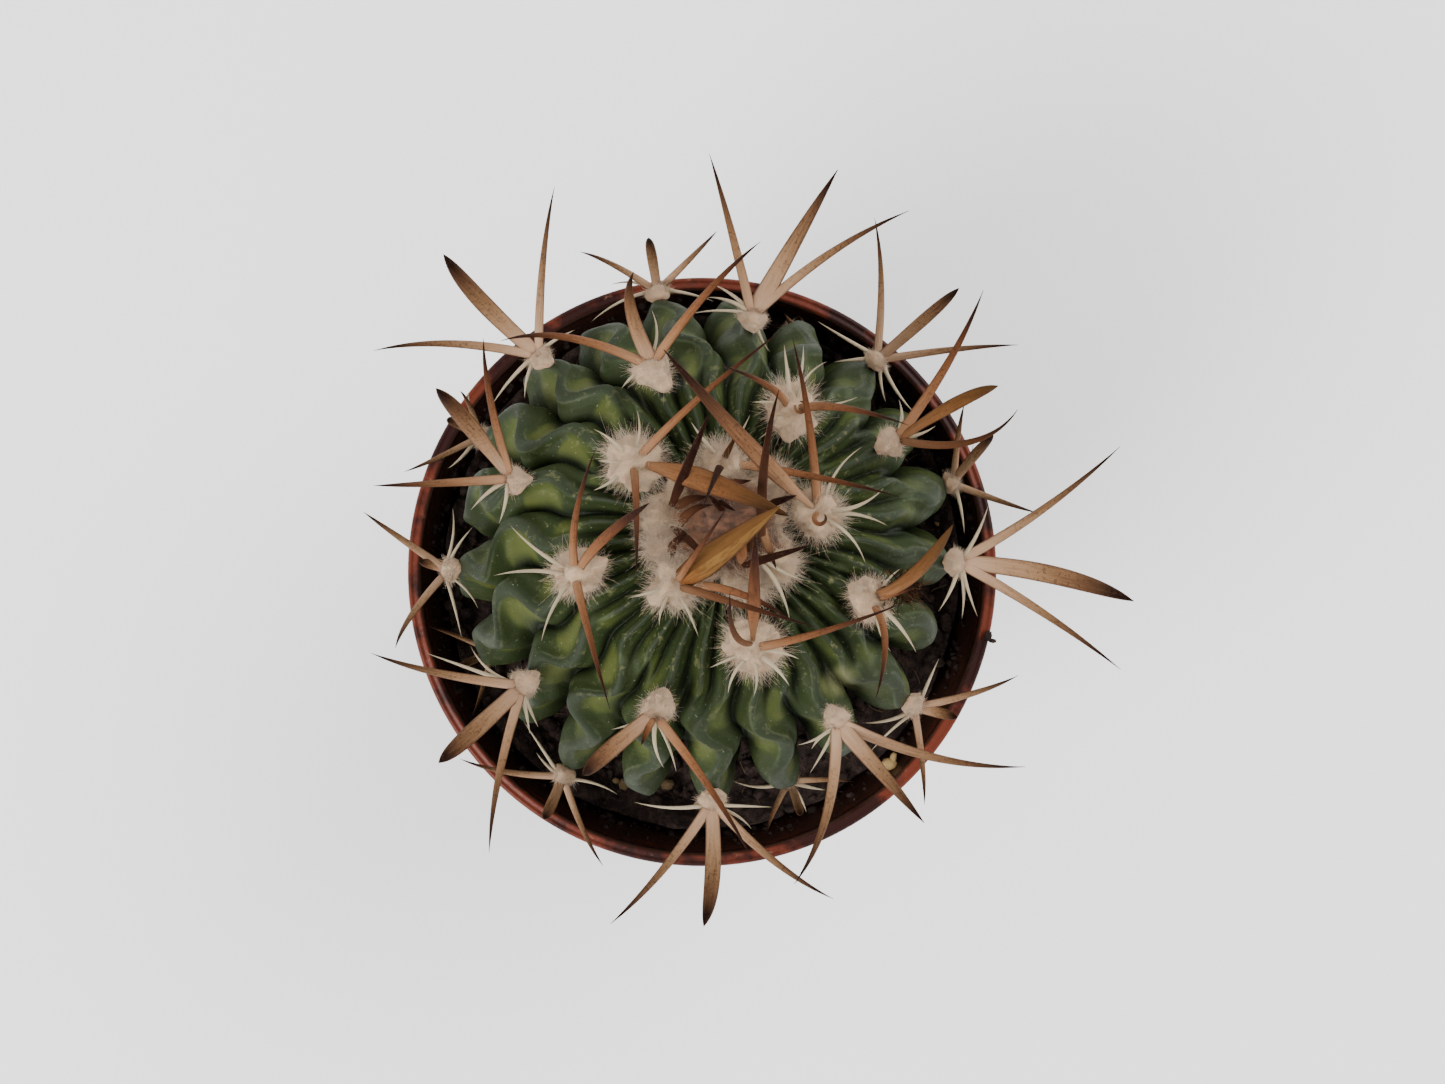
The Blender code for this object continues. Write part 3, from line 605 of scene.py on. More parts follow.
class Paint:
    """One material. Its nodes are added by node(), their values join as formulas, and its colour is
    built up by lay()."""

    def __init__(self, name, roughness, **plain):
        self.material = bpy.data.materials.new(name)
        self.material.use_nodes = True
        self.tree = self.material.node_tree
        self.shader = self.tree.nodes["Principled BSDF"]
        self.colour = None
        self.shader.inputs["Roughness"].default_value = roughness
        for socket, value in plain.items():
            self.shader.inputs[socket.replace("_", " ")].default_value = value

    def node(self, kind, settings=None, inputs=None, output=0):
        """Add a node. Its settings, such as an operation or a ramp's stops, are set first, then its
        sockets get their values or links."""
        node = self.tree.nodes.new(kind)
        for key, value in (settings or {}).items():
            if key == "stops":
                self.set_stops(node.color_ramp, value)
            else:
                setattr(node, key, value)
        for key, value in (inputs or {}).items():
            self.feed(node.inputs[key], value)
        return Socket(self, node.outputs[output])

    def feed(self, socket, value):
        if isinstance(value, Socket):
            self.tree.links.new(value.output, socket)
        else:
            socket.default_value = value

    def set_stops(self, ramp, stops):
        while len(ramp.elements) < len(stops):
            ramp.elements.new(0.5)
        for element, (place, colour) in zip(ramp.elements, stops):
            element.position = place
            element.color = (*colour, 1)

    def place(self):
        return self.node("ShaderNodeTexCoord", output="Object")

    def attribute(self, name):
        return self.node("ShaderNodeAttribute", {"attribute_name": name}, output="Fac")

    def noise(self, spacing, detail=2.0, roughness=0.5, stretch=(1, 1, 1)):
        """Noise from 0 to 1 over the piece, with spots of about the given spacing in metres."""
        place = self.node("ShaderNodeMapping", {"vector_type": "POINT"},
                          {"Vector": self.place(), "Scale": stretch})
        return self.node("ShaderNodeTexNoise", None,
                         {"Vector": place, "Scale": 1 / spacing, "Detail": detail, "Roughness": roughness})

    def step(self, value, low, high):
        """0 below low and 1 above high, with a smooth rise between."""
        return self.node("ShaderNodeMapRange", {"interpolation_type": "SMOOTHSTEP"},
                         {"Value": value, "From Min": low, "From Max": high})

    def ramp(self, value, stops):
        return self.node("ShaderNodeValToRGB", {"stops": stops}, {"Fac": value})

    def mix(self, share, first, second):
        """A colour between two colours, which are sockets or red, green and blue."""
        first, second = (c if isinstance(c, Socket) else (*c, 1) for c in (first, second))
        return self.node("ShaderNodeMix", {"data_type": "RGBA"}, {0: share, 6: first, 7: second}, 2)

    def lay(self, share, tint):
        """Mix a tint over the colour so far."""
        self.colour = self.mix(share, self.colour, tint)

    def finish(self, height=None, relief=0.0, roughness=None):
        """Link the colour, a bump of the given relief in metres, and a roughness that varies."""
        self.feed(self.shader.inputs["Base Color"], self.colour)
        if height is not None:
            normal = self.node("ShaderNodeBump", None, {"Height": height, "Distance": relief})
            self.feed(self.shader.inputs["Normal"], normal)
        if roughness is not None:
            self.feed(self.shader.inputs["Roughness"], roughness)
        return self.material


def paint_skin(stem):
    """Waxy skin: furrows darkened to near black as painted shade, yellow-green patches on the broad flanks,
    more of them on the -X side as painted light, and a dull blue-green cord on the crests with a painted
    highlight along its edges. Young ribs have pale streaks and specks, and one furrow has a dry corky
    patch."""
    paint = Paint("cactus_skin", 0.5, Specular_IOR_Level=0.1)
    arch = paint.attribute("arch")
    cord = paint.attribute("cord")
    age = paint.attribute("age")
    broad = paint.noise(5 * MM, 3)
    fine = paint.noise(0.8 * MM, 4)
    flank = paint.attribute("flank")
    # Yellow-green patches on the broad flanks; the flank share also lays more of them on the -X side as
    # painted light.
    patch = paint.step(flank + (broad - 0.5) * 0.6, -0.15, 0.7)
    paint.colour = paint.mix(patch, stem.deep_colour, stem.flank_colour)
    # Paler middles of the flank patches, also stronger on the -X side as painted light.
    pale = paint.step(flank + (paint.noise(4 * MM, 3) - 0.5) * 1.5, 0.3, 1.15)
    paint.lay(pale * 0.8, (0.068, 0.078, 0.018))
    band = paint.step(cord + (fine - 0.5) * 0.25, 0.5, 0.85)
    paint.lay(band * 0.9, stem.crest_colour)
    # Painted highlight: a pale line along both edges of the crest's cord.
    edge = band * (1 - band) * 2.4 * paint.step(broad, 0.4, 0.6)
    paint.lay(edge, (0.060, 0.075, 0.038))
    # Painted shade: the furrows darkened to near black where the arch is low.
    shade = 1 - paint.step(arch, 0.15, 0.72)
    paint.lay(shade * 0.92, (0.005, 0.008, 0.003))
    streak = paint.step(paint.noise(1.4 * MM, 3, 0.7), 0.55, 0.68) * paint.step(arch, 0.6, 0.9)
    paint.lay(streak * (1 - age * 0.8) * 0.75, (0.14, 0.14, 0.060))
    above = paint.node("ShaderNodeVectorMath", {"operation": "MULTIPLY"}, {0: paint.place(), 1: (1, 1, 0)})
    away = paint.node("ShaderNodeVectorMath", {"operation": "DISTANCE"}, {0: above, 1: CORK_PLACE}, "Value")
    cork = 1 - paint.step(away + (broad - 0.5) * CORK_REACH, 0.3 * CORK_REACH, CORK_REACH)
    paint.lay(cork * 0.75, (0.15, 0.155, 0.068))
    specks = paint.step(paint.noise(0.4 * MM, 1), 0.72, 0.8)
    paint.lay(specks * 0.4, (0.30, 0.32, 0.24))
    height = fine * 0.6 + paint.noise(0.25 * MM, 2) * 0.4
    return paint.finish(height, 0.12 * MM, 0.42 + fine * 0.2)


def paint_spines(spines):
    """Dry spines with brown streaks along them and a dark tip: straw on old areoles, russet on
    younger ones, and near black where they are newest."""
    paint = Paint("cactus_spines", 0.5, Specular_IOR_Level=0.1, IOR=1.2)
    along = paint.attribute("along")
    across = paint.attribute("across")
    tone = paint.attribute("tone")
    kin = paint.attribute("kin")
    ivory = paint.attribute("ivory")
    where = paint.node("ShaderNodeCombineXYZ", None,
                       {0: across * 2.4 + kin * 31, 1: along * 3.5, 2: kin * 17})
    streak = paint.node("ShaderNodeTexNoise", None,
                        {"Vector": where, "Scale": 1.6, "Detail": 6.0, "Roughness": 0.7})
    mottle = paint.noise(1.3 * MM, 5, 0.75)
    reach = along + (streak - 0.5) * 0.4
    straw = paint.ramp(reach, (
        (0, spines.root_colour),
        (0.25, (0.31, 0.184, 0.103)),
        (0.5, spines.middle_colour),
        (0.72, (0.086, 0.041, 0.021)),
        (0.88, spines.tip_colour),
    ))
    russet = paint.ramp(reach, (
        (0, (0.32, 0.172, 0.090)),
        (0.3, (0.212, 0.089, 0.039)),
        (0.6, (0.108, 0.038, 0.016)),
        (0.82, (0.022, 0.007, 0.005)),
        (1, spines.tip_colour),
    ))
    black = paint.ramp(reach, (
        (0, (0.06, 0.020, 0.011)),
        (0.25, (0.022, 0.008, 0.005)),
        (0.6, (0.012, 0.004, 0.003)),
        (1, (0.009, 0.003, 0.002)),
    ))
    paint.colour = paint.mix(paint.step(tone, 0.05, 0.5), straw, russet)
    paint.lay(paint.step(tone, 0.6, 1.0), black)
    gold = paint.attribute("gold")
    golden = paint.mix(paint.step(along, 0.08, 0.35), (0.19, 0.070, 0.018), (0.165, 0.086, 0.024))
    paint.lay(gold * 0.95, golden)
    stains = paint.step(streak, 0.50, 0.68) * paint.step(along, 0.1, 0.6)
    paint.lay(stains * 0.5, (0.075, 0.035, 0.019))
    flecks = paint.step(paint.noise(0.45 * MM, 2, 0.6), 0.55, 0.65) * paint.step(along, 0.05, 0.5)
    flecks = flecks * (1 - gold)
    paint.lay(flecks * 0.55, (0.045, 0.021, 0.012))
    creases = paint.step(streak, 0.42, 0.6) * gold
    paint.lay(creases * 0.55, (0.075, 0.028, 0.009))
    # Painted shade: one half of each gold blade darkened, as a facet turned from the light.
    shaded_facet = paint.step(across + along * 0.5, 0.1, 0.2) * gold
    paint.lay(shaded_facet * 0.75, (0.085, 0.036, 0.011))
    edge = paint.step(across * across, 0.5, 1.0)
    paint.lay(edge * (1 - ivory) * 0.75, (0.075, 0.033, 0.017))
    paint.lay(ivory, (0.46, 0.38, 0.26))
    return paint.finish(streak * 0.7 + mottle * 0.3, 0.35 * MM, 0.42 + mottle * 0.2)


def paint_wool(wool):
    """Felt of fine hairs, warm cream, with painted shade in its hollows and on the core under the hairs,
    and a dull pink-brown heart at the crown with painted shadows in its folds.
    """
    paint = Paint("cactus_wool", 0.95, Specular_IOR_Level=0.1, Sheen_Weight=0.1, Sheen_Roughness=0.6,
                  Subsurface_Weight=0.2, Subsurface_Scale=0.0015)
    # Painted shade: the darker hollow colour laid between the tufts, as shade in the wool's hollows.
    tuft = paint.noise(0.8 * MM, 4, 0.65) * 0.5 + paint.noise(0.22 * MM, 3, 0.7) * 0.5
    paint.colour = paint.mix(paint.step(tuft, 0.36, 0.58), wool.hollow_shade_colour, wool.colour)
    paint.lay(paint.attribute("old") * 0.75, (0.72, 0.48, 0.31))
    # Painted shade: the pad's core, with no hairs, darkened as if in the shadow of the hairs over it.
    paint.lay((1 - paint.attribute("fibre")) * 0.6, (0.55, 0.33, 0.19))
    # Painted shadow: dark folds in the dull pink heart of the crown.
    fold_shadow_mask = paint.step(paint.noise(1.6 * MM, 4, 0.6, (0.5, 1, 1)), 0.42, 0.6)
    pink = paint.mix(fold_shadow_mask, (0.065, 0.022, 0.011), (0.21, 0.085, 0.042))
    paint.lay(paint.attribute("pink") * 0.95, pink)
    return paint.finish(paint.noise(0.45 * MM, 6, 0.8), 0.7 * MM)


def paint_pot(pot):
    """Moulded terracotta-coloured plastic, dusty and scuffed, darker inside the lip and down the inner
    wall, with darker clouds that are partly stains and partly painted shade, most on the lip, and a painted
    highlight on the lip.
    """
    paint = Paint("pot_plastic", 0.3, Specular_IOR_Level=0.22, IOR=1.35)
    lip = paint.attribute("lip")
    # Darker clouds, most of them on the lip: partly stains, partly painted shade.
    stain_and_shade_cloud = paint.step(paint.noise(9 * MM, 5, 0.6), 0.42, 0.58) * (0.12 + lip * 0.88)
    grain = paint.noise(0.5 * MM, 3)
    scuff = paint.noise(5 * MM, 6, 0.75, (1, 1, 4))
    paint.colour = paint.mix(stain_and_shade_cloud, pot.colour, pot.deep_colour)
    # Lighter pink-brown: real dust over the pot, and on the lip more of it as a painted highlight.
    dust_and_lip_highlight = paint.step(paint.noise(2.5 * MM, 6, 0.7), 0.6, 0.75)
    paint.lay(dust_and_lip_highlight * (0.15 + lip * 0.3), (0.30, 0.15, 0.10))
    dirt = paint.step(scuff, 0.56, 0.68) * 0.5
    paint.lay(dirt, (0.035, 0.017, 0.012))
    # Darker inside the lip's inner half and down the inner wall, more the deeper.
    inner_darkening = paint.step(paint.attribute("inside") + (scuff - 0.5) * 1.2, 0.35, 0.75)
    paint.lay(inner_darkening * 0.93, (0.026, 0.013, 0.009))
    return paint.finish(grain, 0.06 * MM, 0.28 + stain_and_shade_cloud * 0.12 + dirt * 0.4)


def paint_peat(soil):
    """Damp peat: near-black crumbs with brown fibres and a few light grains."""
    paint = Paint("peat", 0.9, Specular_IOR_Level=0.1)
    crumb = paint.noise(1.2 * MM, 6, 0.7)
    fibre = paint.noise(1.0 * MM, 4, 0.6, (1, 0.2, 1))
    paint.colour = paint.mix(paint.step(crumb, 0.4, 0.7), soil.colour, soil.crumb_colour)
    paint.lay(paint.step(fibre, 0.62, 0.72) * 0.6, (0.055, 0.033, 0.022))
    paint.lay(paint.attribute("light"), (0.36, 0.24, 0.10))
    return paint.finish(crumb, 0.6 * MM, 0.75 + crumb * 0.2)


def spine_path(root, heading, reach, length, bow, bulge, stations):
    """Centreline of a spine: a quadratic curve from the root to a tip at the level reach along the
    heading and at the rise that the length leaves. It sets out flatter than its chord by the bow,
    and its middle bulges to the left."""
    reach = min(reach, 0.97 * length)
    level = level_direction(heading)
    left = level_direction(heading + 90)
    climb = math.acos(reach / length)
    start = climb - math.radians(bow)
    middle = root + 0.5 * length * (math.cos(start) * level + math.sin(start) * UP) + 2 * bulge * left
    tip = root + reach * level + length * math.sin(climb) * UP
    return bend(root[None], middle[None], tip[None], stations), left[None]


def curled_path(root, heading, radius, stations):
    """Centreline of a broken stub: most of a turn of a narrowing level spiral that climbs a little."""
    turn = np.linspace(0, 1.6 * math.pi, stations)
    level, left = level_direction(heading), level_direction(heading + 90)
    shrink = radius * (1 - 0.06 * turn)
    points = (root + np.outer(shrink * np.sin(turn), level) + np.outer(shrink * (1 - np.cos(turn)), left)
              + np.outer(radius * (1.2 + 0.1 * turn), UP))
    return points[None], UP[None]


def bend(roots, middles, tips, stations):
    """Quadratic curves through stations from roots to tips, drawn towards the middles."""
    t = np.linspace(0, 1, stations)[None, :, None]
    return (1 - t) ** 2 * roots[:, None] + 2 * t * (1 - t) * middles[:, None] + t ** 2 * tips[:, None]


def spine_taper(stations, outline):
    """Width along a spine as a share of its greatest: it swells from its root's share to its belly
    and falls to the tip as 1 - t ** fullness."""
    belly, fullness, root = outline
    t = np.linspace(0, 1, stations)
    rise = root + (1 - root) * smoothstep(t, 0, belly)
    return np.maximum(rise * (1 - t ** fullness) ** 0.85, 0.04)


def add_spines(parts, paths, flat, widths, thickness_share, sides, outline, cup, kin, **values):
    """Loft spines of the given greatest widths along their paths and note where each point is."""
    stations = paths.shape[1]
    taper = spine_taper(stations, outline)
    along = np.linspace(0, 1, stations)
    width = widths[:, None] * taper[None, :]
    thickness = widths[:, None] * thickness_share * taper[None, :] ** 0.6
    points, across = loft(paths, flat, width, thickness, sides, cup)
    each = {name: np.broadcast_to(np.asarray(value, float), len(paths))[:, None, None]
            for name, value in values.items()}
    parts.add(points, tube_faces(len(paths), stations, sides), along=along[None, :, None],
              across=across[None, None, :], kin=(kin + np.arange(len(paths)) * 0.37)[:, None, None], **each)


def central_outline(k, broad):
    """The outline of a central spine of areole k: blades on old areoles, leaves on the newest."""
    if not broad or k in TAPERING:
        return NEEDLE
    if k < 9:
        return BROAD_LEAF if k == 5 else LEAF
    return WAISTED_BLADE if k in WAISTED else BLADE


def add_central_spines(parts, k, stem, spines):
    """The broad blade and the slim pair of areole k."""
    seat, out, _, _ = pad_seat(k, stem)
    shortening = 1 - 0.36 * float(smoothstep(k, 19, 27))
    usual_bow = 16 if k >= 12 else -10
    height = 0.62 * pad_radius(k)
    for i, (heading, reach, bulge, width, tone, *rest) in enumerate(SPINES[k]):
        broad = i == 0
        usual = (spines.broad_length if broad else spines.slim_length) * shortening
        length = rest[0] * MM if rest else max(usual, 1.04 * reach * MM)
        bow = rest[1] if len(rest) > 1 else usual_bow
        level = level_direction(heading)
        root = seat + 0.1 * height * out + 0.4 * height * (level - out * (level @ out))
        if CURLED.get(k) == i:
            path, flat = curled_path(root + 0.75 * height * out, heading, STUB_RADIUS, SPINE_STATIONS)
        else:
            path, flat = spine_path(root, heading, reach * MM, length, bow, bulge * MM, SPINE_STATIONS)
        thickness_share, sides, cup = (0.24, 12, 0.12) if broad else (0.6, 8, 0.0)
        add_spines(parts, path, flat, np.array([width * MM]), thickness_share, sides,
                   central_outline(k, broad), cup, k + 0.3 * i, tone=tone,
                   gold=GOLDEN.get(k, 0.0) * broad, ivory=0.0)


def add_ivory_spines(parts, k, stem, spines):
    """The thin ivory spines at the edge of areole k. Each arches out over the skin, and how high its
    tip stands is drawn at random."""
    if k not in IVORY:
        return
    draw = np.random.default_rng(300 + k)
    seat, out, _, _ = pad_seat(k, stem)
    rows = np.array(IVORY[k])
    count = len(rows)
    reach = rows[:, 1:] * MM
    level = np.stack([level_direction(heading) for heading in rows[:, 0]])
    left = np.cross(UP, level)
    rise = reach * draw.uniform(0.2, 0.5, (count, 1)) * (1 if k < 14 else 0.5)
    roots = seat + 0.35 * pad_radius(k) * level
    tips = seat + reach * level + rise * UP - out * 0.2 * reach
    middles = 0.5 * (roots + tips) + reach * (0.16 * UP + draw.uniform(-0.2, 0.2, (count, 1)) * left)
    widths = spines.ivory_width * draw.uniform(0.8, 1.15, count)
    add_spines(parts, bend(roots, middles, tips, IVORY_STATIONS), left, widths, 0.8, 6, THIN, 0.0, k,
               tone=0.0, gold=0.0, ivory=draw.uniform(0.75, 1, count))


def add_dry_flower(parts, stem):
    """The withered remains of a flower beside an areole: a tangle of bent brown shreds."""
    draw = np.random.default_rng(900)
    seat, out, _, _ = pad_seat(FLOWERED, stem)
    count = FLOWER_SHREDS
    centre = seat + 3.4 * MM * level_direction(27) + 1.0 * MM * out
    roots = centre + draw.normal(size=(count, 3)) * (1.1 * MM, 1.1 * MM, 0.6 * MM)
    heads = unit(draw.normal(size=(count, 3)) + out)
    length = draw.uniform(1.0, 3.0, (count, 1)) * MM
    tips = roots + heads * length
    middles = 0.5 * (roots + tips) + draw.normal(size=(count, 3)) * 0.4 * length
    flat = unit(np.cross(heads, draw.normal(size=(count, 3))))
    widths = draw.uniform(0.07, 0.26, count) * MM
    add_spines(parts, bend(roots, middles, tips, SHRED_STATIONS), flat, widths, 0.5, 4, SHRED, 0.0, 70.0,
               tone=draw.uniform(0.75, 1.0, count), gold=0.0, ivory=0.0)


def spray_of(k, stem, spines):
    """All spines of areole k."""
    parts = Parts()
    if k == FLOWERED:
        add_dry_flower(parts, stem)
    add_central_spines(parts, k, stem, spines)
    add_ivory_spines(parts, k, stem, spines)
    return parts


def add_hairs(parts, roots, directions, lengths, width, pink, old, seed):
    """Fine hairs: three-sided tubes from the roots, each curling off its direction to one side.
    Hairs of about a millimetre and less stay straight."""
    draw = np.random.default_rng(seed)
    curl = draw.normal(size=roots.shape) * 0.6
    stations = 3 if lengths.mean() > 1.1 * MM else 2
    t = np.linspace(0, 1, stations)[None, :, None]
    paths = roots[:, None] + lengths[:, None, None] * (t * directions[:, None] + t ** 2 * curl[:, None])
    flat = unit(np.cross(directions, draw.normal(size=roots.shape)))
    widths = width * np.linspace(1, 0.3, stations)[None, :] * np.ones((len(roots), 1))
    points, _ = loft(paths, flat, widths, widths, 3)
    # Each hair gets a fibre share of 0.7 to 1, which keeps it out of most of the core's painted shade.
    parts.add(points, tube_faces(len(roots), stations, 3), pink=pink[:, None, None], old=old,
              fibre=draw.uniform(0.7, 1, (len(roots), 1, 1)))


def add_pad(parts, seat, axes, sizes, hairs, hair_length, hair_width, seed, wedge=0.0, flow=0.35, pink=0.0,
            old=0.0):
    """A tuft of wool: a lumpy ellipsoid with rough noise on its radius, and hairs on its upper side.

    wedge narrows it towards the crown, flow is how far the hairs stray, old is its share of the
    colour of aged felt, and pink its share of the crown's dull pink, which fades towards its rim.
    """
    axes = np.array(axes)
    sizes = np.array(sizes)
    ball, faces = unit_ball(*PAD_GRID)
    draw = np.random.default_rng(seed)
    height = draw.uniform(-0.1, 1, hairs)
    spin = draw.uniform(0, math.tau, hairs)
    spread = round_axis(np.sqrt(1 - height ** 2), spin, height)

    def settle(sphere, share):
        shaped = sphere * sizes
        shaped[:, 1] *= 1 + wedge * sphere[:, 0]
        rough = share * (1 + 0.28 * rough_noise(shaped + seat, 2.0 * MM, 4, 17))
        blush = pink * (1 - smoothstep(np.hypot(*sphere[:, :2].T), 0.7, 1.0))
        return seat + (shaped * rough[:, None]) @ axes, blush

    points, blush = settle(ball, 1.0)
    # The core gets a fibre share of 0, which the wool's paint darkens as painted shade under the hairs.
    parts.add(points, faces, pink=blush, old=old, fibre=0.0)
    roots, blush = settle(spread, 0.94)
    stray = (spread * (1, 1, 0)) @ axes * 0.7 + draw.normal(size=spread.shape) * flow
    direction = unit(unit((spread / sizes) @ axes) + stray)
    lengths = hair_length * draw.uniform(0.4, 1.3, hairs) * (1 - 0.6 * blush)
    add_hairs(parts, roots, direction, lengths, hair_width, blush, old, seed + 1)


def rounded(corners, radius, steps=5):
    """A profile whose corners are eased: each becomes a quadratic curve that starts and ends at the
    given distance from it, or at 0.45 of the shorter edge if that is less."""
    corners = np.array(corners, float)
    rows = [corners[:1]]
    for before, corner, after in zip(corners, corners[1:], corners[2:]):
        back, ahead = before - corner, after - corner
        reach = min(radius, 0.45 * np.linalg.norm(back), 0.45 * np.linalg.norm(ahead))
        ends = corner + unit(back) * reach, corner + unit(ahead) * reach
        rows.append(bend(ends[0][None], corner[None], ends[1][None], steps)[0])
    rows.append(corners[-1:])
    return np.concatenate(rows)


def turned_skin(profile, columns, centre=(0, 0)):
    """A profile of (radius, height) rows, from axis to axis, turned about an upright axis."""
    turn = math.tau * np.arange(columns) / columns
    ring = round_axis(profile[1:-1, 0:1], turn, profile[1:-1, 1:2]) + (*centre, 0)
    poles = np.array([[*centre, profile[0, 1]], [*centre, profile[-1, 1]]])
    return ring, np.concatenate([ring.reshape(-1, 3), poles])


class PotSettings(bpy.types.PropertyGroup):
    """Sizes and colours of the pot."""

    rim_radius: FloatProperty(name="Rim radius", description="Outer radius of the lip", default=RIM_RADIUS,
                              subtype="DISTANCE", unit="LENGTH")
    height: FloatProperty(name="Height", description="Height of the pot", default=POT_HEIGHT,
                          subtype="DISTANCE", unit="LENGTH")
    lip_width: FloatProperty(name="Lip width", description="Width of the flat lip", default=2.0 * MM,
                             subtype="DISTANCE", unit="LENGTH")
    lip_height: FloatProperty(name="Lip height", description="Height of the lip's edge", default=2.0 * MM,
                              subtype="DISTANCE", unit="LENGTH")
    wall: FloatProperty(name="Wall", description="Thickness of the wall", default=1.3 * MM,
                        subtype="DISTANCE", unit="LENGTH")
    colour: FloatVectorProperty(name="Colour", description="Colour of the plastic", subtype="COLOR",
                                default=(0.100, 0.020, 0.010))
    # The darker clouds are partly stains and partly painted shade, most of them on the lip.
    deep_colour: FloatVectorProperty(name="Deep colour", description="Colour of its darker clouds",
                                     subtype="COLOR", default=(0.018, 0.004, 0.003))


class SoilSettings(bpy.types.PropertyGroup):
    """Relief and colours of the peat."""

    relief: FloatProperty(name="Relief", description="Height of the crumbs", default=1.1 * MM,
                          subtype="DISTANCE", unit="LENGTH")
    climb: FloatProperty(name="Climb", description="How far the peat rises towards the wall",
                         default=3.5 * MM, subtype="DISTANCE", unit="LENGTH")
    crumbs: IntProperty(name="Crumbs", description="Number of loose crumbs", default=900)
    fibres: IntProperty(name="Fibres", description="Number of loose fibres", default=260)
    colour: FloatVectorProperty(name="Colour", description="Colour of the damp peat", subtype="COLOR",
                                default=(0.015, 0.0098, 0.0088))
    crumb_colour: FloatVectorProperty(name="Crumb colour", description="Colour of its drier crumbs",
                                      subtype="COLOR", default=(0.045, 0.029, 0.023))


class StemSettings(bpy.types.PropertyGroup):
    """Shape and colours of the ribbed globe."""

    radius: FloatProperty(name="Radius", description="Radius of the globe over its crests",
                          default=35.4 * MM, subtype="DISTANCE", unit="LENGTH")
    flatness: FloatProperty(name="Flatness", description="Height of the globe as a share of its width",
                            default=0.78, subtype="FACTOR")
    rib_depth: FloatProperty(name="Rib depth", description="Depth of the furrows between old ribs",
                             default=5.6 * MM, subtype="DISTANCE", unit="LENGTH")
    cord_share: FloatProperty(name="Cord share", description="Share of a rib's height in its crest's cord",
                              default=0.3, subtype="FACTOR")
    wave_width: FloatProperty(name="Wave width", description="How far the crests swing, in degrees",
                              default=5.5)
    crest_colour: FloatVectorProperty(name="Crest colour", description="Colour of the bloom on the crests",
                                      subtype="COLOR", default=(0.021, 0.028, 0.014))
    # The flank colour is the patches' own yellow-green; the flank share lays it more on the -X side as
    # painted light.
    flank_colour: FloatVectorProperty(name="Flank colour", description="Colour of the sunny flanks",
                                      subtype="COLOR", default=(0.042, 0.055, 0.013))
    deep_colour: FloatVectorProperty(name="Deep colour", description="Colour of the shaded skin",
                                     subtype="COLOR", default=(0.019, 0.028, 0.009))


class SpineSettings(bpy.types.PropertyGroup):
    """Sizes and colours of the spines."""

    broad_length: FloatProperty(name="Broad length", description="Length of the broad spine",
                                default=25 * MM, subtype="DISTANCE", unit="LENGTH")
    slim_length: FloatProperty(name="Slim length", description="Length of a slim spine",
                               default=27 * MM, subtype="DISTANCE", unit="LENGTH")
    ivory_width: FloatProperty(name="Ivory width", description="Width of a thin ivory spine",
                               default=0.6 * MM, subtype="DISTANCE", unit="LENGTH")
    root_colour: FloatVectorProperty(name="Root colour", description="Colour at the root", subtype="COLOR",
                                     default=(0.42, 0.275, 0.180))
    middle_colour: FloatVectorProperty(name="Middle colour", description="Colour at the middle",
                                       subtype="COLOR", default=(0.187, 0.101, 0.050))
    tip_colour: FloatVectorProperty(name="Tip colour", description="Colour at the tip", subtype="COLOR",
                                    default=(0.010, 0.004, 0.003))


class WoolSettings(bpy.types.PropertyGroup):
    """Hairs and colours of the wool."""

    hairs: IntProperty(name="Hairs", description="Number of hairs on a full pad", default=1900)
    hair_length: FloatProperty(name="Hair length", description="Length of a hair", default=1.25 * MM,
                               subtype="DISTANCE", unit="LENGTH")
    hair_width: FloatProperty(name="Hair width", description="Width of a hair", default=0.04 * MM,
                              subtype="DISTANCE", unit="LENGTH")
    colour: FloatVectorProperty(name="Colour", description="Colour of the wool", subtype="COLOR",
                                default=(1.0, 0.73, 0.49))
    # The hollow colour is a darker copy of the wool, laid as painted shade in its hollows.
    hollow_shade_colour: FloatVectorProperty(name="Hollow colour", description="Colour of its hollows",
                                       subtype="COLOR", default=(0.90, 0.62, 0.39))


class StageSettings(bpy.types.PropertyGroup):
    """Camera, light and floor."""

    camera_height: FloatProperty(name="Camera height", description="Height of the camera over the floor",
                                 default=394 * MM, subtype="DISTANCE", unit="LENGTH")
    view_angle: FloatProperty(name="View angle", description="Width of the view",
                              default=2 * math.atan(0.5 * 208.2 / 320), subtype="ANGLE", unit="ROTATION")
    key_power: FloatProperty(name="Key power", description="Power of the main light, in watts",
                             default=10.0)
    fill_power: FloatProperty(name="Fill power", description="Power of the second light, in watts",
                              default=8.5)
    sky: FloatProperty(name="Sky", description="Strength of the light from all round", default=1.2)
    floor_colour: FloatVectorProperty(name="Floor colour", description="Colour of the floor",
                                      subtype="COLOR", default=(0.9, 0.9, 0.9))


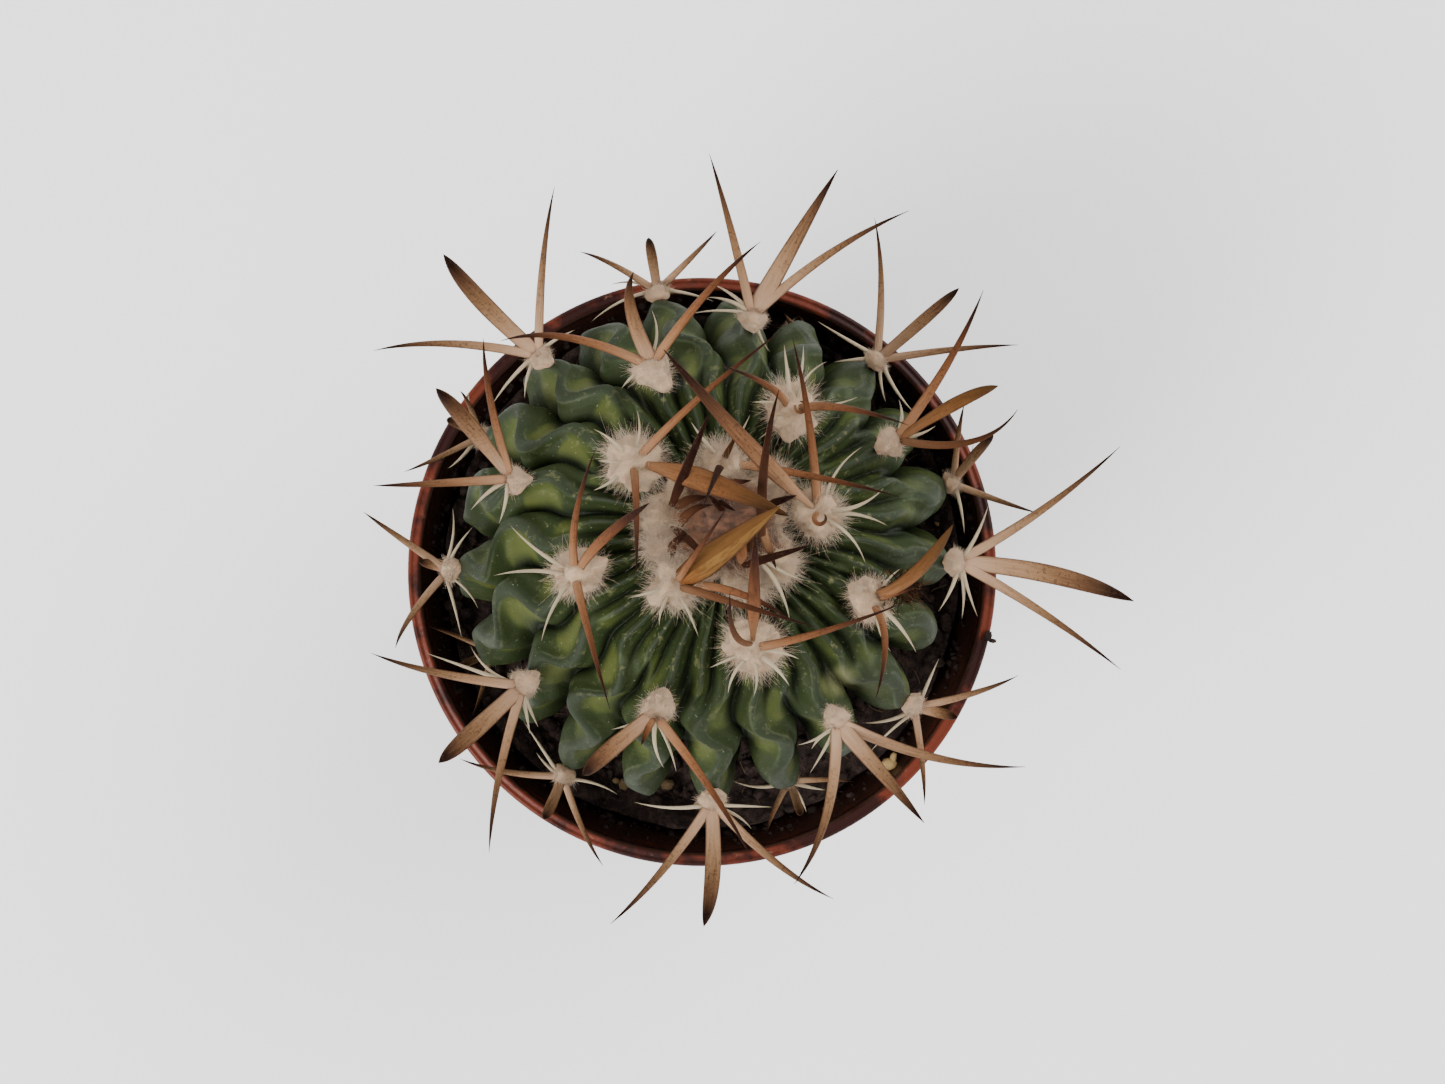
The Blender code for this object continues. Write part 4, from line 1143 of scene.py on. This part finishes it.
class CACTUS_OT_pot(bpy.types.Operator):
    """Turn the pot, with its lip, collar, tapering wall and drain holes"""

    bl_idname = "cactus.pot"
    bl_label = "Pot"

    def execute(self, context):
        pot = context.scene.cactus_pot
        lip_bottom = pot.height - pot.lip_height
        collar = pot.rim_radius - COLLAR_INSET
        taper = (SHOULDER_RADIUS - BASE_RADIUS) / COLLAR_BOTTOM
        inner = pot.rim_radius - pot.lip_width
        corners = [
            (0, FLOOR_THICKNESS),
            (BASE_RADIUS + taper * FLOOR_THICKNESS - pot.wall, FLOOR_THICKNESS),
            (SHOULDER_RADIUS - pot.wall, COLLAR_BOTTOM),
            (inner, lip_bottom),
            (inner, pot.height - 0.35 * MM),
            (inner + 0.3 * pot.lip_width, pot.height),
            (inner + 0.55 * pot.lip_width, pot.height - 0.3 * MM),
            (inner + 0.8 * pot.lip_width, pot.height - 0.1 * MM),
            (pot.rim_radius, pot.height - 0.5 * MM),
            (pot.rim_radius, lip_bottom),
            (collar, lip_bottom - 0.5 * pot.lip_height),
            (collar - 0.5 * MM, COLLAR_BOTTOM),
            (SHOULDER_RADIUS, COLLAR_BOTTOM),
            (BASE_RADIUS, BASE_ROUND),
            (BASE_RADIUS - BASE_ROUND, 0),
            (0, 0),
        ]
        ring, points = turned_skin(rounded(corners, CORNER_EASE), POT_COLUMNS)
        parts = Parts()
        depth = smoothstep(lip_bottom + 1.2 * MM - points[:, 2], 0, 3 * MM)
        across = np.hypot(points[:, 0], points[:, 1])
        wall = SHOULDER_RADIUS - 0.3 * MM + 0.17 * (points[:, 2] - COLLAR_BOTTOM)
        # lip is 1 on the lip, where the paint lays most of its painted shade clouds and its painted
        # highlight.
        lip = smoothstep(points[:, 2], lip_bottom - MM, lip_bottom + 0.5 * MM)
        inner_edge = smoothstep(pot.rim_radius - across, 0.5 * pot.lip_width, pot.lip_width)
        inside = np.maximum(depth * (across < wall) * (points[:, 2] > COLLAR_BOTTOM),
                            0.8 * inner_edge * lip)
        parts.add(points, closed_skin(ring), inside=inside, lip=lip)
        body = parts.build("nursery_pot", paint_pot(pot))
        cut_drain_holes(body)
        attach(body, "root")
        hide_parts("pot")
        return {"FINISHED"}


def cut_drain_holes(body):
    """Take the drain holes out of the base with one Boolean, and keep only the cut mesh."""
    cutter = Parts()
    for i in range(DRAIN_HOLES):
        turn = math.tau * (i + 0.5) / DRAIN_HOLES
        centre = (DRAIN_CIRCLE * math.cos(turn), DRAIN_CIRCLE * math.sin(turn))
        low, high = DRAIN_CUT
        profile = np.array([(0, high), (DRAIN_RADIUS, high), (DRAIN_RADIUS, low), (0, low)])
        ring, points = turned_skin(profile, DRAIN_COLUMNS, centre)
        cutter.add(points, closed_skin(ring))
    tool = cutter.build("drain_cutter", None)
    cut = body.modifiers.new("Drain holes", "BOOLEAN")
    cut.object = tool
    cut.operation = "DIFFERENCE"
    cut.solver = "EXACT"
    shape = bpy.data.meshes.new_from_object(body.evaluated_get(bpy.context.evaluated_depsgraph_get()))
    body.modifiers.clear()
    body.data = shape
    shape.set_sharp_from_angle(angle=math.radians(SHARP_ANGLE))
    bpy.data.objects.remove(tool)


class CACTUS_OT_soil(bpy.types.Operator):
    """Fill the pot with peat, and strew crumbs, fibres and grains on it"""

    bl_idname = "cactus.soil"
    bl_label = "Peat"

    def execute(self, context):
        soil = context.scene.cactus_soil
        material = paint_peat(soil)
        plug = self.plug(soil, context.scene.cactus_pot).build("peat", material)
        litter = self.litter(soil).build("peat_litter", material)
        for piece in (plug, litter):
            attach(piece, "root")
            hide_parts("soil")
        return {"FINISHED"}

    def plug(self, soil, pot):
        """A plug from the hole of the neck over the rough top and down the wall to the base. The
        top's height is octaves of noise, and rings slide from the neck's centre to the pot's."""
        edge = SHOULDER_RADIUS - pot.wall - GAP
        hole = NECK_RADIUS + GAP
        hole_floor = SOIL_LEVEL - NECK_DEPTH - GAP
        bottom_radius = BASE_RADIUS - pot.wall - GAP
        radius = np.concatenate([np.linspace(0.5 * hole, hole, 3), [hole],
                                 np.linspace(hole, edge, PEAT_ROWS),
                                 [edge, edge, bottom_radius, 0.5 * bottom_radius]])
        height = np.concatenate([np.full(3, hole_floor), [SOIL_LEVEL - 3 * MM],
                                 np.full(PEAT_ROWS, SOIL_LEVEL),
                                 [SOIL_LEVEL - 2 * MM, COLLAR_BOTTOM], [FLOOR_THICKNESS + GAP] * 2])
        share = np.clip((radius - hole) / (edge - hole), 0, 1)
        share[-4:] = 1
        turn = math.tau * np.arange(PEAT_COLUMNS) / PEAT_COLUMNS
        ring = round_axis(radius[:, None], turn, height[:, None])
        ring[..., :2] += (STEM_CENTRE[:2] * (1 - share[:, None]))[:, None]
        rough = rough_noise(ring, 4.5 * MM, 5, 7)
        surface = (np.abs(height - SOIL_LEVEL) < 1e-6)[:, None]
        climb = soil.climb * smoothstep(radius, edge - 5 * MM, edge)[:, None] ** 1.5 * (1 + 0.35 * rough)
        ring[..., 2] += np.where(surface, soil.relief * (rough - 0.3) + climb, 0)
        poles = np.array([[*STEM_CENTRE[:2], hole_floor], [0, 0, FLOOR_THICKNESS + GAP]])
        parts = Parts()
        parts.add(np.concatenate([ring.reshape(-1, 3), poles]), closed_skin(ring), light=0.0)
        return parts

    def litter(self, soil):
        """Crumbs on the open peat and up the wall, the grains that the photo shows, and fibres."""
        draw = np.random.default_rng(11)
        parts = Parts()
        self.add_crumbs(parts, soil, draw)
        grains = np.array(GRAINS) * MM
        self.add_balls(parts, grains[:, :3], grains[:, 3], grains[:, 4] / MM, draw)
        self.add_fibres(parts, soil, draw)
        return parts

    def scattered(self, soil, ring, count, draw):
        """Places strewn evenly over a ring of the peat, whose radii are in mm, on its climbing level."""
        inner, outer = ring
        spin = draw.uniform(0, math.tau, count)
        radius = np.sqrt(draw.uniform(inner ** 2, outer ** 2, count)) * MM
        rise = soil.climb * smoothstep(radius, *CLIMB_RING) ** 1.5
        return round_axis(radius, spin, SOIL_LEVEL + rise)

    def add_crumbs(self, parts, soil, draw):
        """Loose crumbs on the open peat, a few of them light, and smaller ones that cling to the wall,
        fewer the higher."""
        centres = self.scattered(soil, CRUMB_RING, soil.crumbs, draw)
        sizes = draw.uniform(0.3, 0.9, soil.crumbs) ** 1.5 * 1.5 * MM
        light = (draw.uniform(size=soil.crumbs) > 0.985) * 0.55
        self.add_balls(parts, centres, sizes, light, draw)
        count = soil.crumbs // 2
        spin = draw.uniform(0, math.tau, count)
        height = SOIL_LEVEL + CLING_HEIGHT * draw.uniform(0, 1, count) ** 1.6
        centres = round_axis(WALL_FOOT + WALL_SLOPE * (height - COLLAR_BOTTOM), spin, height)
        sizes = (0.16 + 0.55 * draw.uniform(0, 1, count) ** 3) * MM
        self.add_balls(parts, centres, sizes, np.zeros(count), draw)

    def add_fibres(self, parts, soil, draw):
        """Thin bent tubes that lie on the peat. One that would reach into the wall is turned round."""
        count = soil.fibres
        roots = self.scattered(soil, FIBRE_RING, count, draw) + 0.3 * MM * UP
        turn = draw.uniform(0, math.tau, count)
        length = draw.uniform(1.0, 3.2, count)[:, None] * MM
        run = round_axis(1, turn, draw.uniform(-0.1, 0.25, count)) * length
        tips = roots + run
        outside = np.hypot(tips[:, 0], tips[:, 1]) > FIBRE_EDGE
        tips[outside, :2] = roots[outside, :2] - run[outside, :2]
        middles = 0.5 * (roots + tips) + draw.normal(size=roots.shape) * 0.3 * length * (1, 1, 0.3)
        flat = unit(np.cross(tips - roots, UP))
        widths = draw.uniform(0.08, 0.22, count)[:, None] * MM * np.linspace(1, 0.6, FIBRE_STATIONS)
        points, _ = loft(bend(roots, middles, tips, FIBRE_STATIONS), flat, widths, widths, 4)
        shade = draw.uniform(0, 0.16, count)[:, None, None]
        parts.add(points, tube_faces(count, FIBRE_STATIONS, 4), light=shade)

    def add_balls(self, parts, centres, sizes, light, draw):
        """Balls of 4 rings by 8, flattened and made rough, each by its own noise."""
        ball, one = unit_ball(4, 8)
        stretch = draw.uniform(0.6, 1.3, (len(centres), 1, 3)) * (1, 1, 0.7)
        rough = 1 + 0.28 * lattice_noise(ball[None] * 0.9 + centres[:, None] * 9000, 1.0, 3)
        points = centres[:, None] + ball[None] * rough[..., None] * stretch * sizes[:, None, None]
        shift = np.arange(len(centres)) * len(ball)
        faces = [(f[None] + shift[:, None, None]).reshape(-1, f.shape[1]) for f in one]
        parts.add(points, faces, light=np.broadcast_to(light[:, None], points.shape[:-1]))


class CACTUS_OT_stem(bpy.types.Operator):
    """Lay the ribbed skin of the globe, down to the neck in the peat"""

    bl_idname = "cactus.stem"
    bl_label = "Stem"

    def execute(self, context):
        stem = context.scene.cactus_stem
        rib = np.arange(SKIN_COLUMNS)[None, :] * RIBS / SKIN_COLUMNS
        polar = np.linspace(0.8, BODY_END, SKIN_ROWS)[:, None]
        points, arch, cord = stem_surface(rib, polar, stem)
        neck = self.neck(points[-1])
        grid = np.concatenate([points, neck])
        outward = unit(grid - STEM_CENTRE)
        grid = grid + outward * 0.22 * MM * rough_noise(grid, 7 * MM, 3, 31)[..., None]
        poles = [points[0].mean(axis=0), [*STEM_CENTRE[:2], SOIL_LEVEL - NECK_DEPTH]]
        values = {}
        # The neck takes an arch of 0.2, so the skin's painted furrow shade darkens it near black as well.
        for name, value, on_neck in (("arch", arch, 0.2), ("cord", cord, 0),
                                     ("age", smoothstep(polar, 18, 60), 1),
                                     ("flank", self.flank(rib, polar, stem), 0)):
            rows = [np.broadcast_to(value, points.shape[:2]), np.full(neck.shape[:2], on_neck)]
            value = np.concatenate(rows)
            values[name] = np.concatenate([value.ravel(), [value[0].mean(), value[-1].mean()]])
        parts = Parts()
        parts.add(np.concatenate([grid.reshape(-1, 3), poles]), closed_skin(grid), **values)
        body = parts.build("ribbed_stem", paint_skin(stem))
        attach(body, "root")
        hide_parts("stem")
        return {"FINISHED"}

    def neck(self, last):
        """Rings that draw the ribbed skin's last ring in to the round neck, down into the peat. Each
        has a share of the ribs' outline and a height over the peat in mm."""
        deep = -NECK_DEPTH / MM
        flat = last[:, :2] - STEM_CENTRE[:2]
        collar = unit(flat) * NECK_RADIUS
        rings = []
        for share, height in ((0.7, 3.2), (0.4, 2.0), (0.1, 1.1), (0, 0.9), (0, 1.5 + deep), (0, deep)):
            level = STEM_CENTRE[:2] + between(share, collar, flat)
            rings.append(np.column_stack([level, np.full(len(last), SOIL_LEVEL + height * MM)]))
        return np.stack(rings)

    def flank(self, rib, polar, stem):
        """How much each point's flank takes the yellow-green patch: more on the -X side, by painted light,
        and fading at the crown and below.
        """
        side = np.radians(360 / RIBS * rib + spiral_turn(polar, RIBS, RIBS_PER_STEP) + FIRST_AZIMUTH)
        flank = broad_flank(rib, polar, side, stem.radius) * smoothstep(polar, 24, 42)
        return flank * (0.72 - 0.28 * np.cos(side)) * (1 - 0.5 * smoothstep(polar, 85, 105))


class CACTUS_OT_spines(bpy.types.Operator):
    """Set the spray of spines of each areole"""

    bl_idname = "cactus.spines"
    bl_label = "Spines"

    def execute(self, context):
        stem, spines = context.scene.cactus_stem, context.scene.cactus_spines
        material = paint_spines(spines)
        for k in range(FIRST_SPRAY, LAST_SPRAY + 1):
            spray = spray_of(k, stem, spines).build(f"spray_{k:02d}", material)
            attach(spray, "root")
            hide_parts(f"areole_{k:02d}")
        return {"FINISHED"}


class CACTUS_OT_crown(bpy.types.Operator):
    """Set the young spines over the growing point"""

    bl_idname = "cactus.crown"
    bl_label = "Crown spines"

    def execute(self, context):
        stem, spines = context.scene.cactus_stem, context.scene.cactus_spines
        apex = stem_surface(np.array([0.0]), np.array([0.0]), stem)[0][0]
        rows = np.array(CROWN_SPINES)
        feet = apex + np.column_stack([rows[:, 0:2], np.full(len(rows), 1.2)]) * MM
        tips = apex + np.column_stack([rows[:, 2:4], rows[:, 4]]) * MM
        run = tips - feet
        left = unit(np.cross(UP, run))
        middles = 0.5 * (feet + tips) + 0.22 * np.linalg.norm(run, axis=1)[:, None] * UP
        middles += 2 * rows[:, 5:6] * MM * left
        parts = Parts()
        add_spines(parts, bend(feet, middles, tips, YOUNG_STATIONS), left, rows[:, 6] * MM, 0.35, 10,
                   YOUNG_BLADE, 0.06, 50, tone=rows[:, 7], gold=0.0, ivory=0.0)
        add_ivory_spines(parts, 3, stem, spines)
        body = parts.build("crown_spines", paint_spines(spines))
        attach(body, "root")
        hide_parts("crown")
        return {"FINISHED"}


class CACTUS_OT_wool(bpy.types.Operator):
    """Lay the wool of the crown and of every areole"""

    bl_idname = "cactus.wool"
    bl_label = "Wool"

    def execute(self, context):
        stem, wool = context.scene.cactus_stem, context.scene.cactus_wool
        material = paint_wool(wool)
        self.keep(self.crown(stem, wool).build("crown_wool", material), "crown")
        for k in range(FIRST_SPRAY, LAST_SPRAY + 1):
            self.keep(self.pad(k, stem, wool).build(f"wool_{k:02d}", material), f"areole_{k:02d}")
        return {"FINISHED"}

    def keep(self, piece, node):
        """Let a tuft ride on the plant's one body, and hide the CAD node that it stands for."""
        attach(piece, "root")
        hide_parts(node)

    def crown(self, stem, wool):
        """The dull pink hollow of the growing point, and the clumps round it on the falling skin."""
        parts = Parts()
        out = areole_frame(0, stem)[1]
        apex = stem_surface(np.array([0.0]), np.array([0.0]), stem)[0][0]
        east = unit(np.cross((0, 1.0, 0), out))
        axes = np.array([east, np.cross(out, east), out])
        add_pad(parts, apex + out * 0.4 * MM, axes, HOLLOW_SIZES, 5 * wool.hairs, wool.hair_length,
                wool.hair_width, 50, flow=0.6, pink=1.0)
        for i, (x, y, size, old) in enumerate(CLUMPS):
            place = apex + np.array([x, y, 0.4 - (x * x + y * y) / 90]) * MM @ axes
            add_pad(parts, place, axes, np.array([1.1, 1.0, 0.7]) * size * MM, wool.hairs,
                    wool.hair_length, wool.hair_width, 60 + 2 * i, flow=0.7, old=old)
        return parts

    def pad(self, k, stem, wool):
        """The felt pad of areole k: fluffy and round at first, later a bald wedge that points to the
        crown. It is set into the skin."""
        seat, out, along, across = pad_seat(k, stem)
        height = pad_radius(k)
        radius = height * (1 - 0.25 * float(smoothstep(k, 9, 15)))
        fluff = 1 - float(smoothstep(k, 8, 15))
        sizes = ((1.45 - 0.25 * fluff) * radius, (1.05 + 0.05 * fluff) * radius,
                 (0.62 + 0.13 * fluff) * height)
        place = seat - out * 0.32 * height - along * 0.55 * (1 - fluff) * radius
        parts = Parts()
        add_pad(parts, place, (along, across, out), sizes, int(wool.hairs * (0.6 + 0.4 * fluff)),
                wool.hair_length * (0.35 + 0.65 * fluff), wool.hair_width, 100 + 2 * k,
                wedge=0.6 * (1 - fluff), flow=0.4 + 0.2 * fluff, old=1 - fluff)
        return parts


class CACTUS_OT_stage(bpy.types.Operator):
    """Set the camera straight above the plant, with soft lights and a pale floor"""

    bl_idname = "cactus.stage"
    bl_label = "Stage"

    def execute(self, context):
        stage = context.scene.cactus_stage
        camera = bpy.data.objects.new("camera", bpy.data.cameras.new("camera"))
        camera.location = (*CAMERA_PLACE, stage.camera_height)
        camera.data.angle = stage.view_angle
        camera.data.clip_start = 5 * MM
        context.scene.collection.objects.link(camera)
        context.scene.camera = camera
        for name, place, width, power in LAMPS:
            lamp = bpy.data.lights.new(name, "AREA")
            lamp.energy = getattr(stage, power)
            lamp.size = width
            light = bpy.data.objects.new(name, lamp)
            light.location = place
            aim = LAMP_AIM - np.array(place)
            light.rotation_euler = (math.atan2(math.hypot(aim[0], aim[1]), -aim[2]), 0,
                                    math.atan2(aim[1], aim[0]) - math.pi / 2)
            context.scene.collection.objects.link(light)
        world = bpy.data.worlds.new("studio")
        world.use_nodes = True
        world.node_tree.nodes["Background"].inputs[0].default_value = (1, 1, 1, 1)
        world.node_tree.nodes["Background"].inputs[1].default_value = stage.sky
        context.scene.world = world
        paint = Paint("pale_floor", 0.9, Specular_IOR_Level=0.1)
        parts = Parts()
        parts.add(np.array([[-1, -1, 0], [1, -1, 0], [1, 1, 0], [-1, 1, 0]]) * FLOOR_REACH,
                  [np.array([[0, 1, 2, 3]])])
        paint.colour = (*stage.floor_colour, 1)
        floor = parts.build("floor", paint.finish())
        return {"FINISHED"}


class CACTUS_PT_panel(bpy.types.Panel):
    """The steps that build the potted cactus"""

    bl_label = "Potted brain cactus"
    bl_idname = "CACTUS_PT_panel"
    bl_space_type = "VIEW_3D"
    bl_region_type = "UI"
    bl_category = "Cactus"

    def draw(self, context):
        for operator in OPERATORS:
            self.layout.operator(operator.bl_idname)


OPERATORS = (CACTUS_OT_pot, CACTUS_OT_soil, CACTUS_OT_stem, CACTUS_OT_spines, CACTUS_OT_crown,
             CACTUS_OT_wool, CACTUS_OT_stage)
SETTINGS = {"cactus_pot": PotSettings, "cactus_soil": SoilSettings, "cactus_stem": StemSettings,
            "cactus_spines": SpineSettings, "cactus_wool": WoolSettings, "cactus_stage": StageSettings}


def register():
    for group in (*SETTINGS.values(), *OPERATORS, CACTUS_PT_panel):
        bpy.utils.register_class(group)
    for name, group in SETTINGS.items():
        setattr(bpy.types.Scene, name, PointerProperty(type=group))


def unregister():
    for name in SETTINGS:
        delattr(bpy.types.Scene, name)
    for group in (CACTUS_PT_panel, *reversed(OPERATORS), *SETTINGS.values()):
        bpy.utils.unregister_class(group)


def main():
    register()
    bpy.ops.cactus.pot()
    bpy.ops.cactus.soil()
    bpy.ops.cactus.stem()
    bpy.ops.cactus.spines()
    bpy.ops.cactus.crown()
    bpy.ops.cactus.wool()
    bpy.ops.cactus.stage()


if __name__ == "__main__":
    main()
